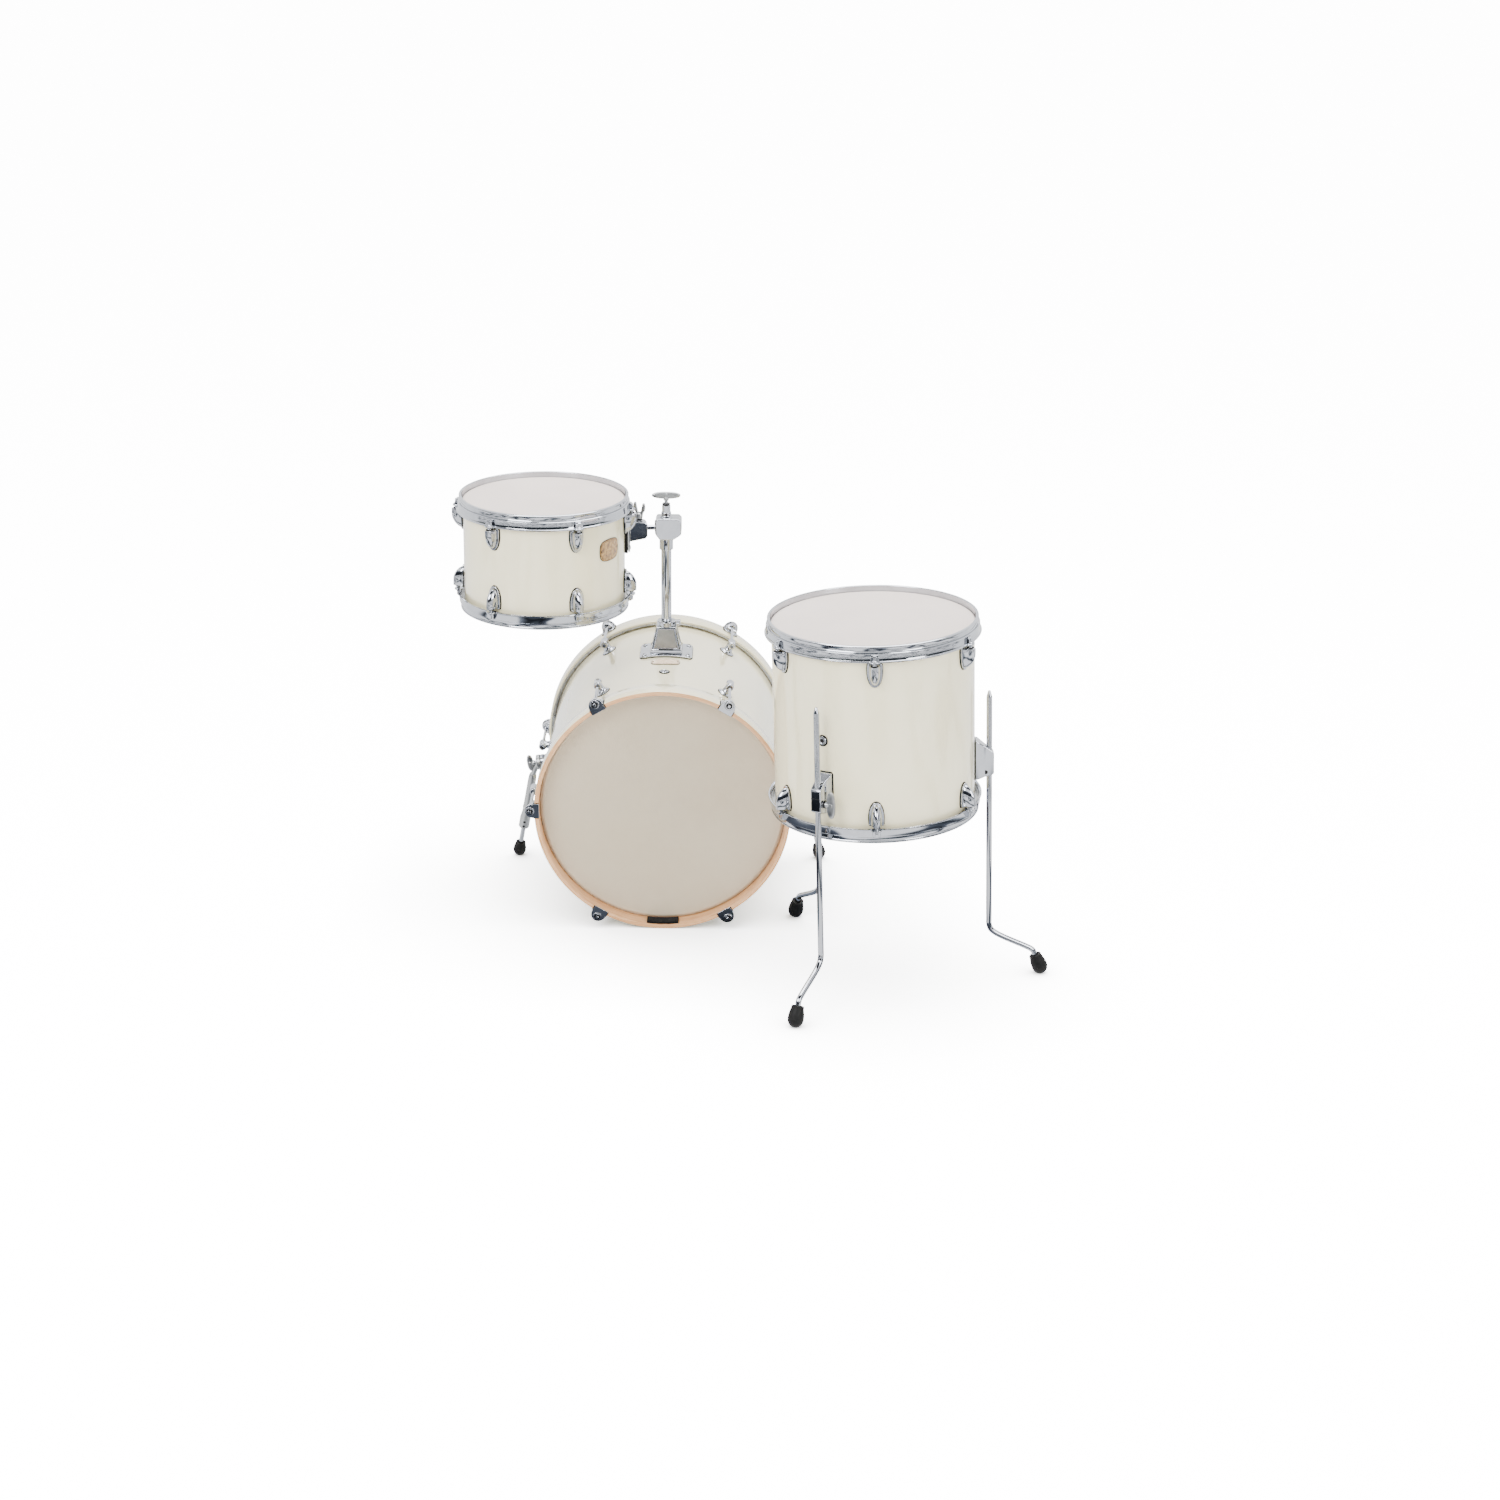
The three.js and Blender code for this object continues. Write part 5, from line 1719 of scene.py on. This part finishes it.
    def bracket(self) -> None:
        """Tom bracket: rubber gasket, chrome plate, clamp block and wing bolt."""
        place = TOM @ around(BRACKET_AZIMUTH)
        gasket = self.bracket_slab("tom_bracket_gasket_rubber", 14.0, (-47, 31), 150.9, 5.6)
        gasket = dress(gasket, RUBBER)
        settle(gasket, place)
        fit(gasket, "rack_tom", "tom_bracket_gasket")
        seat, thick = 157.3, 3.4
        slab = self.bracket_slab("tom_bracket_plate", 12.4, (-45.4, 29.4), seat, thick)
        parts = [dress(slab, CHROME)]
        block = side_plate("block", [(158.9, -24), (189, -18.6), (193, -14), (193, 9),
                                     (189, 13), (158.9, 15)], 25.6, 1.4)
        hole = plate("hole", self.rod_section(1.07), 60)
        drill(block, settle(hole, moved(y=-200) @ OUTWARD @ moved(z=-30)))
        parts.append(dress(block, CHROME))
        for z in (-38, 23.5):
            screw = turned("screw", [(0, 0), (4.2, 0), (4.2, 0.9), (3.4, 2.0), (0, 2.4)], 24,
                           edge=0.2)
            settle(screw, moved(y=-seat - thick + 0.3, z=z) @ OUTWARD)
            parts.append(dress(screw, CHROME))
        whole = merge(slab.name, *parts)
        settle(whole, place)
        fit(whole, "rack_tom", "tom_bracket")
        bolt = FIT.wing_bolt("tom_bracket_wing", 4, 12.5, 26)
        settle(bolt, place @ moved(y=-178.4, z=14.8) @ around(50))
        fit(dress_slot(bolt, SATIN), "bracket_bolt", "tom_bracket_bolt")

    def rod_section(self, grow: float = 1.0) -> list[Flat]:
        """Returns the rod's section with two flats upright, enlarged by a factor."""
        return [(x * grow, y * grow) for x, y in hexagon(self.rod_across / math.sqrt(3), 30)]

    def ball_section(self, radius: float, step: int) -> list[Flat]:
        """Draws half of a round section, from its lower pole to its upper one.

        Args:
            radius: Radius in millimetres.
            step: Degrees between two points.

        Returns:
            The [radius, height] points.
        """
        arc = [(radius * math.sin(math.radians(a)), -radius * math.cos(math.radians(a)))
               for a in range(step, 180, step)]
        return [(0, -radius), *arc, (0, radius)]

    def build(self) -> None:
        """Builds the whole holder."""
        self.mount()
        self.memory()
        self.post()
        self.clamp()
        self.arm()
        self.bracket()


def dress_slot(piece: bpy.types.Object, finish: Finish) -> bpy.types.Object:
    """Names the record slot of a piece whose parts already have their finishes."""
    piece["finish_slot"] = finish.slot
    return piece


# ------------------------------------------------------------------ spurs and legs
@dataclass
class Spur:
    """Folding spur of the bass drum, laid out in the bass frame in millimetres.

    Attributes:
        outward: Direction of the fold axis on the right side.
        shoulder: Upper end of the tube on the right side.
        axis: Direction of the tube on the right side.
        station: Place of the fold axis along the drum.
        length: Distance from the shoulder to the foot.
        seat: Distance of the bracket's seat from the drum's axis.
    """

    side: Side
    outward: Point = (0.99098, 0.0, -0.13399)
    shoulder: Point = (266.12, 335.0, -59.44)
    axis: Point = (0.17742, 0.25757, -0.94983)
    station: float = 328.0
    length: float = 196.62
    seat: float = 227.35

    @property
    def tag(self) -> str:
        """Word that ends this spur's names."""
        return self.side.name.lower()

    def mirrored(self, vector: Point) -> Vector:
        """Returns a bass-frame vector on this side."""
        return Vector((vector[0] * self.side.value, vector[1], vector[2]))

    def hub(self, radial: float) -> Matrix:
        """Returns a frame on the fold axis, Z outward, at a distance from the drum's axis."""
        out = self.mirrored(self.outward)
        return basis(out, Vector((0, 1, 0)), (out * radial + Vector((0, self.station, 0))) * MM)

    def down(self) -> Matrix:
        """Returns the frame of the tube, Z running from the shoulder to the foot."""
        return basis(self.mirrored(self.axis), Vector((0, 1, 0)),
                     self.mirrored(self.shoulder) * MM)

    def bracket(self) -> None:
        """Ringed bracket screwed to the shell."""
        disc = turned(f"spur_bracket_{self.tag}_ringed", [
            (0, -1.5), (18.2, -1.5), (19, -0.6), (19, 2.6), (18.2, 3.8), (15.8, 4.4),
            (15, 5.6), (15, 8.4), (14.0, 9.2), (14.0, 10.4), (15, 11.2), (15, 14.6),
            (14.0, 15.4), (14.0, 16.6), (15, 17.4), (15, 23.6), (14.2, 24.4), (0, 24.4)],
            56, edge=0.2)
        dress(settle(disc, BASS @ self.hub(self.seat)), CHROME)
        gasket = turned(f"spur_gasket_{self.tag}", [(0, -2.2), (20, -2.2), (20.2, -1.2),
                                                    (19.6, -0.4), (0, -0.4)], 48, edge=0.2)
        fit(dress(settle(gasket, BASS @ self.hub(self.seat)), RUBBER), "bass_drum")
        fit(disc, "bass_drum", f"spur_bracket_{self.tag}")

    def swing_tube(self) -> None:
        """Toothed disc, neck and tapering tube that end in the clamp block."""
        disc = turned("disc", [(0, 0.2), (14.4, 0.2), (15, 0.9), (15, 6.8), (13.6, 8.4),
                               (9.6, 9.3), (0, 9.3)], 48, edge=0.2)
        settle(disc, self.hub(self.seat + 25.0))
        centre = self.hub(257).translation / MM
        start = self.mirrored(self.shoulder)
        axis = self.mirrored(self.axis)
        neck = tube("neck", [tuple(centre), tuple(centre * 0.45 + start * 0.55),
                             tuple(start + axis * 8)], 5.4, 24, 4)
        body = turned("spur_tube", [
            (0, 0.4), (4.6, 0.4), (6.6, 3), (7.6, 8), (8.2, 16), (8.3, 96), (9.2, 104),
            (10.2, 111.5), (10.6, 113.4), (10.6, 135.6), (9.8, 136.6), (5.0, 136.6),
            (5.0, 132), (0, 132)], 40, edge=0.2)
        ring = turned("ring", [(8.2, 84.6), (8.9, 85.2), (8.9, 87.2), (8.2, 87.8)], 40)
        settle(body, self.down())
        settle(ring, self.down())
        # Painted shade: black discs on the clamp block stand in for the shade inside its four
        # holes.
        holes = []
        for z in (119, 130):
            for turn_by in (90, 270):
                hole = turned("hole", [(0, 0), (2.6, 0), (2.6, 0.5), (0, 0.5)], 20)
                settle(hole, self.down() @ around(turn_by) @ moved(y=-10.35, z=z) @ OUTWARD)
                holes.append(dress(hole, RECESS_SHADE))
        parts = [dress(p, SATIN) for p in (disc, neck, body, ring)]
        whole = merge(f"spur_tube_{self.tag}_tapered", *parts, *holes)
        settle(whole, BASS)
        fit(dress_slot(whole, SATIN), f"spur_tube_{self.tag}", f"spur_tube_{self.tag}")
        bolt = FIT.oval_bolt(f"spur_wing_{self.tag}", 5, 19, 6.5)
        settle(bolt, BASS @ self.hub(self.seat + 34.5) @ around(-75 * self.side.value))
        fit(dress_slot(bolt, SATIN), f"spur_bolt_{self.tag}", f"spur_bolt_{self.tag}")

    def rod(self) -> None:
        """Chrome rod and rubber foot."""
        body = f"spur_rod_{self.tag}"
        low, high = self.length - 119.8, self.length - 3.2
        bar = turned(f"{body}_chrome", [
            (0, low), (4.0, low), (4.6, self.length - 119), (4.6, high), (0, high)], 32)
        fit(dress(settle(bar, BASS @ self.down()), CHROME), body, body)
        foot = FIT.foot(f"spur_foot_{self.tag}_rubber", 12.7, 19, 4.6)
        settle(foot, BASS @ self.down() @ moved(z=self.length) @ around(180, "X"))
        trim_floor(foot)
        fit(foot, body, f"spur_foot_{self.tag}")

    def build(self) -> None:
        """Builds the whole spur."""
        self.bracket()
        self.swing_tube()
        self.rod()


def trim_floor(piece: bpy.types.Object) -> bpy.types.Object:
    """Flattens a foot where it stands on the floor.

    Args:
        piece: The foot in its place.

    Returns:
        The same piece.
    """
    edit(piece)
    bpy.ops.mesh.bisect(plane_co=(0, 0, 0.0001), plane_no=(0, 0, 1), use_fill=True,
                        clear_inner=True)
    tidy_mesh()
    return piece


@dataclass
class FloorLeg:
    """Leg of the floor tom with its bracket, wing bolt and foot, millimetres.

    Attributes:
        name: Word that ends its nodes' names.
        azimuth: Direction of the leg from the drum's axis, in degrees.
        foot_at: Height of the foot's widest place below the top lip.
        above_bend: Length of the straight shaft above the bend.
        axis_out: Distance of the shaft from the drum's axis.
        bar: Radius of the leg.
        bend_rise: Height of the bend above the foot.
        spread: How far the foot stands out from the shaft.
        lean: Slope of the shin, in degrees.
        drop: Height of the bracket below the top lip.
        bolt_drop: Height of the bolt below the bracket's own.
        shell_radius: Outside radius of the shell.
        foot_radius: Radius of the foot.
    """

    name: str
    azimuth: float
    foot_at: float
    above_bend: float
    axis_out: float = 203.0
    bar: float = 5.25
    bend_rise: float = 75.7
    spread: float = 92.0
    lean: float = 22.0
    drop: float = -270.0
    bolt_drop: float = -14.0
    shell_radius: float = 177.2
    foot_radius: float = 14.3

    def bracket(self) -> None:
        """Faceted casting that tapers out to the leg channel."""
        outline = [(0.4, 36.4), (4.2, 36.4), (31, 16), (34, 12), (34, -26), (30, -29),
                   (4.2, -35.6), (0.4, -35.6)]
        block = side_plate("bracket", outline, 29.6)
        shift(block, y=-self.shell_radius)
        for sign in (-1, 1):
            # Each cheek tapers from the broad foot to the narrow leg clamp.
            wedge = plate("wedge", [(sign * 15.5, -6), (sign * 9.7, -18), (sign * 9.7, -60),
                                    (sign * 30, -60), (sign * 30, -6)], 100)
            drill(block, shift(wedge, y=-self.shell_radius, z=-50))
        bevel(block, 1.5, 3)
        channel = turned("channel", [(0, -60), (self.bar + 0.5, -60), (self.bar + 0.5, 60),
                                     (0, 60)], 32)
        drill(block, shift(channel, y=-self.axis_out))
        boss = turned("boss", [(3.4, 5), (7.6, 5), (7.6, 9.6), (6.8, 10.2), (3.4, 10.2)], 36,
                      edge=0.4)
        settle(boss, moved(y=-self.axis_out + 3, z=self.bolt_drop) @ around(90, "Y"))
        # Painted shade: a black hexagon stands in for the shade in the key socket.
        key = plate("key", hexagon(4.2), 0.6, 0.1)
        settle(key, moved(y=-self.shell_radius - 19, z=-23) @ around(-90, "Y")
               @ moved(z=9.3))
        # Painted shade: a thin black strip stands in for the shade in the seam across the bracket's
        # face.
        seam = plate("seam", [(-9.4, -3.0), (9.4, -3.0), (9.4, -2.2), (-9.4, -2.2)], 0.5)
        settle(seam, moved(y=-self.shell_radius - 34.0) @ OUTWARD @ moved(z=-0.3))
        parts = [dress(block, CHROME), dress(boss, CHROME), dress(key, RECESS_SHADE),
                 dress(seam, RECESS_SHADE)]
        for z in (-30.2, 30.6):
            washer = turned("washer", [(0, 0), (6.8, 0), (6.8, 0.9), (5.4, 1.3), (0, 1.3)], 28)
            settle(washer, moved(y=-self.shell_radius + 8.4, z=z) @ OUTWARD)
            parts.append(dress(washer, CHROME))
        whole = merge(f"leg_bracket_{self.name}_cast", *parts)
        place = FLOOR_LIP @ around(self.azimuth) @ moved(z=self.drop)
        settle(whole, place)
        fit(dress_slot(whole, CHROME), "floor_tom", f"leg_bracket_{self.name}")
        w = 16.2
        shape = [(w, -34), (w, 34.8), (w - 3, 38), (3 - w, 38), (-w, 34.8), (-w, -34),
                 (3 - w, -37.2), (w - 3, -37.2)]
        gasket = plate(f"leg_bracket_gasket_{self.name}", shape, 1.8, 0.4)
        settle(gasket, OUTWARD)
        bend_round(gasket, self.shell_radius, 5)
        settle(gasket, place @ moved(y=-self.shell_radius + 0.9))
        fit(dress(gasket, RUBBER), "floor_tom")

    def rod(self) -> None:
        """Bent leg with a chamfered top, and its foot."""
        r, z0 = self.bar, self.foot_at
        bend = z0 + self.bend_rise
        top = bend + self.above_bend
        foot_y = -self.axis_out - self.spread
        lean = Vector((0, math.sin(math.radians(self.lean)), math.cos(math.radians(self.lean))))
        shin = [Vector((0, foot_y, z0)) + lean * d for d in (33, 24, 12, 4)]
        knots = [(0, -self.axis_out, bend + 30), (0, -self.axis_out, bend + 17),
                 (0, -self.axis_out, bend + 10), (0, -self.axis_out - 4, bend - 2),
                 (0, -self.axis_out - 20, bend - 14), (0, shin[0].y + 8, shin[0].z + 6)]
        bent = tube("bent", knots + [tuple(p) for p in shin], r - 0.05, 24, 6)
        shaft = turned("leg", [(0, bend + 27), (r, bend + 27), (r, top - 11),
                               (r - 0.4, top - 9.8), (2.5, top - 0.8), (1.9, top), (0, top)],
                       32)
        shift(shaft, y=-self.axis_out)
        whole = merge(f"leg_{self.name}_bar", shaft, bent)
        place = FLOOR_LIP @ around(self.azimuth)
        body = f"leg_{self.name}"
        settle(whole, place)
        fit(dress(whole, CHROME), body, body)
        foot = FIT.foot(f"leg_foot_{self.name}_rubber", self.foot_radius, 24, r)
        settle(foot, place @ moved(y=foot_y, z=z0) @ around(-self.lean, "X"))
        trim_floor(foot)
        fit(foot, body, f"leg_foot_{self.name}")

    def bolt(self) -> None:
        """Wing bolt on the bracket's side."""
        wing = FIT.oval_bolt(f"leg_wing_{self.name}", 6, 24, 8)
        washer = turned("washer", [(3.3, 0.3), (6.8, 0.3), (6.8, 2.6), (3.3, 2.6)], 28,
                        edge=0.3)
        wing = merge(wing.name, wing, dress(washer, RESIN))
        settle(wing, FLOOR_LIP @ around(self.azimuth)
               @ moved(10.1, -self.axis_out + 3, self.drop + self.bolt_drop) @ around(90, "Y"))
        fit(dress_slot(wing, SATIN), f"leg_bolt_{self.name}", f"leg_bolt_{self.name}")

    def build(self) -> None:
        """Builds the whole leg."""
        self.bracket()
        self.rod()
        self.bolt()


# ------------------------------------------------------------------ studio
@dataclass
class Studio:
    """Camera, floor, lights and surroundings."""

    camera_at: Point = (0.02407, -4.99363, 2.04233)
    yaw: float = -0.892
    pitch: float = 18.691
    roll: float = 0.299
    lens: float = 68.71
    shift: Flat = (0.0228, 0.0020)
    glow: float = 13.0
    mirror: float = 2.2
    sky: float = 1.5

    def camera(self) -> None:
        """Places the camera by yaw, pitch and roll."""
        bpy.ops.object.camera_add(location=self.camera_at)
        camera = bpy.context.object
        camera.name = "studio_camera"
        place = (Matrix.Translation(self.camera_at) @ around(-self.yaw)
                 @ around(90 - self.pitch, "X") @ around(self.roll))
        camera.matrix_world = place
        camera.data.lens = self.lens
        camera.data.sensor_width = 36
        camera.data.shift_x, camera.data.shift_y = self.shift
        camera.data.clip_end = 400
        bpy.context.scene.camera = camera

    def floor(self) -> None:
        """Lays a wide white floor.

        The camera sees it glow, with soft shade round the feet. The metal mirrors a floor with
        dark patches instead, as a room's floor would give it.
        """
        bpy.ops.mesh.primitive_plane_add(size=160, location=(0, 0, 0))
        plane = bpy.context.object
        plane.name = "studio_floor"
        paint = bpy.data.materials.new("white_studio_floor")
        paint.use_nodes = True
        tree = paint.node_tree
        tree.nodes.clear()
        path = add_node(tree, "ShaderNodeLightPath")
        where = add_node(tree, "ShaderNodeTexCoord").outputs["Object"]
        white = add_node(tree, "ShaderNodeBsdfDiffuse", values={"Color": linear("#FAFAFA")})
        # Painted shade: ambient occlusion dims the camera's glow near the kit, a painted contact
        # shadow round the feet.
        near = add_node(tree, "ShaderNodeAmbientOcclusion", values={"Distance": 0.45})
        soft = add_node(tree, "ShaderNodeMath", operation="POWER", values={1: 2.2},
                        links={0: near.outputs["AO"]})
        shown = add_node(tree, "ShaderNodeMath", operation="MULTIPLY", values={1: self.glow},
                         links={0: path.outputs["Is Camera Ray"]})
        lift = add_node(tree, "ShaderNodeMath", operation="MULTIPLY",
                        links={0: shown.outputs[0], 1: soft.outputs[0]})
        glow = add_node(tree, "ShaderNodeEmission", links={"Strength": lift.outputs[0]})
        lit = add_node(tree, "ShaderNodeAddShader",
                       links={0: white.outputs[0], 1: glow.outputs[0]})
        # Painted reflection: glossy rays see this glowing floor with dark patches, not the white
        # one the camera sees.
        patches = add_node(tree, "ShaderNodeTexNoise", links={"Vector": where},
                           values={"Scale": 1.0, "Detail": 0.0, "Distortion": 0.5})
        seen = ramp(tree, patches.outputs["Fac"],
                    ((0.38, "#FFFFFF"), (0.43, "#7A818B"), (0.50, "#14171B"),
                     (0.56, "#565C66"), (0.60, "#FFFFFF")))
        apart = add_node(tree, "ShaderNodeSeparateXYZ", links={"Vector": where})
        behind = add_node(tree, "ShaderNodeMapRange", links={"Value": apart.outputs["Y"]},
                          values={"From Min": 0.1, "From Max": 0.6})
        pale = add_node(tree, "ShaderNodeMix", data_type="RGBA",
                        links={0: behind.outputs["Result"], 6: seen})
        pale.inputs[7].default_value = linear("#F4F5F6")
        mirrored = add_node(tree, "ShaderNodeEmission", values={"Strength": self.mirror},
                            links={"Color": pale.outputs[2]})
        both = add_node(tree, "ShaderNodeMixShader",
                        links={0: path.outputs["Is Glossy Ray"], 1: lit.outputs[0],
                               2: mirrored.outputs[0]})
        add_node(tree, "ShaderNodeOutputMaterial", links={"Surface": both.outputs[0]})
        plane.data.materials.append(paint)

    def light(self, name: str, at: Point, size: Flat, power: float,
              look_at: Point = (0, 0, 0.4)) -> None:
        """Adds one rectangular soft light aimed at a point.

        Args:
            name: Name of the light.
            at: Its place, in metres.
            size: Its width and height, in metres.
            power: Its power, in watts.
            look_at: Point that it is aimed at.
        """
        bpy.ops.object.light_add(type="AREA", location=at)
        lamp = bpy.context.object
        lamp.name = name
        lamp.data.shape = "RECTANGLE"
        lamp.data.size, lamp.data.size_y = size
        lamp.data.energy = power
        aim = Vector(look_at) - Vector(at)
        lamp.matrix_world = Matrix.Translation(at) @ aim.to_track_quat("-Z", "Y").to_matrix(
        ).to_4x4()

    def world(self) -> None:
        world = bpy.data.worlds.new("studio_world")
        bpy.context.scene.world = world
        world.use_nodes = True
        tree = world.node_tree
        tree.nodes.clear()
        where = add_node(tree, "ShaderNodeTexCoord").outputs["Generated"]
        parts = add_node(tree, "ShaderNodeSeparateXYZ", links={"Vector": where})
        height = add_node(tree, "ShaderNodeMapRange", links={"Value": parts.outputs["Z"]},
                          values={"From Min": -1.0, "From Max": 1.0})
        seen = ramp(tree, height.outputs["Result"],
                    ((0.5, "#2A2E34"), (0.58, "#15181C"), (0.66, "#4A4F57"),
                     (0.72, "#FFFFFF"), (0.84, "#FFFFFF"), (0.88, "#3A3F46"),
                     (0.97, "#22262B")))
        behind = add_node(tree, "ShaderNodeMapRange", links={"Value": parts.outputs["Y"]},
                          values={"From Min": 0.0, "From Max": 0.35})
        pale = add_node(tree, "ShaderNodeMix", data_type="RGBA",
                        links={0: behind.outputs["Result"], 6: seen})
        pale.inputs[7].default_value = linear("#FFFFFF")
        mirrored = add_node(tree, "ShaderNodeBackground", values={"Strength": self.mirror},
                            links={"Color": pale.outputs[2]})
        plain = add_node(tree, "ShaderNodeBackground", values={"Strength": self.sky})
        path = add_node(tree, "ShaderNodeLightPath")
        both = add_node(tree, "ShaderNodeMixShader",
                        links={0: path.outputs["Is Glossy Ray"], 1: plain.outputs[0],
                               2: mirrored.outputs[0]})
        add_node(tree, "ShaderNodeOutputWorld", links={"Surface": both.outputs[0]})

    def build(self) -> None:
        """Sets up the whole studio."""
        self.camera()
        self.floor()
        self.world()
        self.light("key_softbox", (-2.6, -3.4, 3.4), (2.4, 2.4), 290)
        self.light("fill_softbox", (3.2, -3.4, 2.2), (1.6, 2.6), 150)
        self.light("top_softbox", (0.2, 0.6, 3.8), (3.0, 2.4), 260)


def main() -> None:
    logging.basicConfig(level=logging.INFO, format="%(name)s %(message)s")
    BassDrum().build()
    TomHolder().build()
    for side in Side:
        Spur(side).build()
    UprightDrum("rack_tom", "rack_tom", TOM_LIP, 150.5, 194.5, -33, (-123, -114.5),
                (57, -83)).build()
    UprightDrum("floor_tom", "floor_tom", FLOOR_LIP, 177.2, 334.0, -1, (-31.5, -177),
                (149, -150)).build()
    for name, azimuth, foot_at, above_bend in (
            ("front_left", -30.5, -652.262, 468), ("right", RIGHT_LEG_AZIMUTH, -672.416, 453),
            ("rear_left", -150.5, -661.966, 458)):
        FloorLeg(name, azimuth, foot_at, above_bend).build()
    Studio().build()


if __name__ == "__main__":
    main()
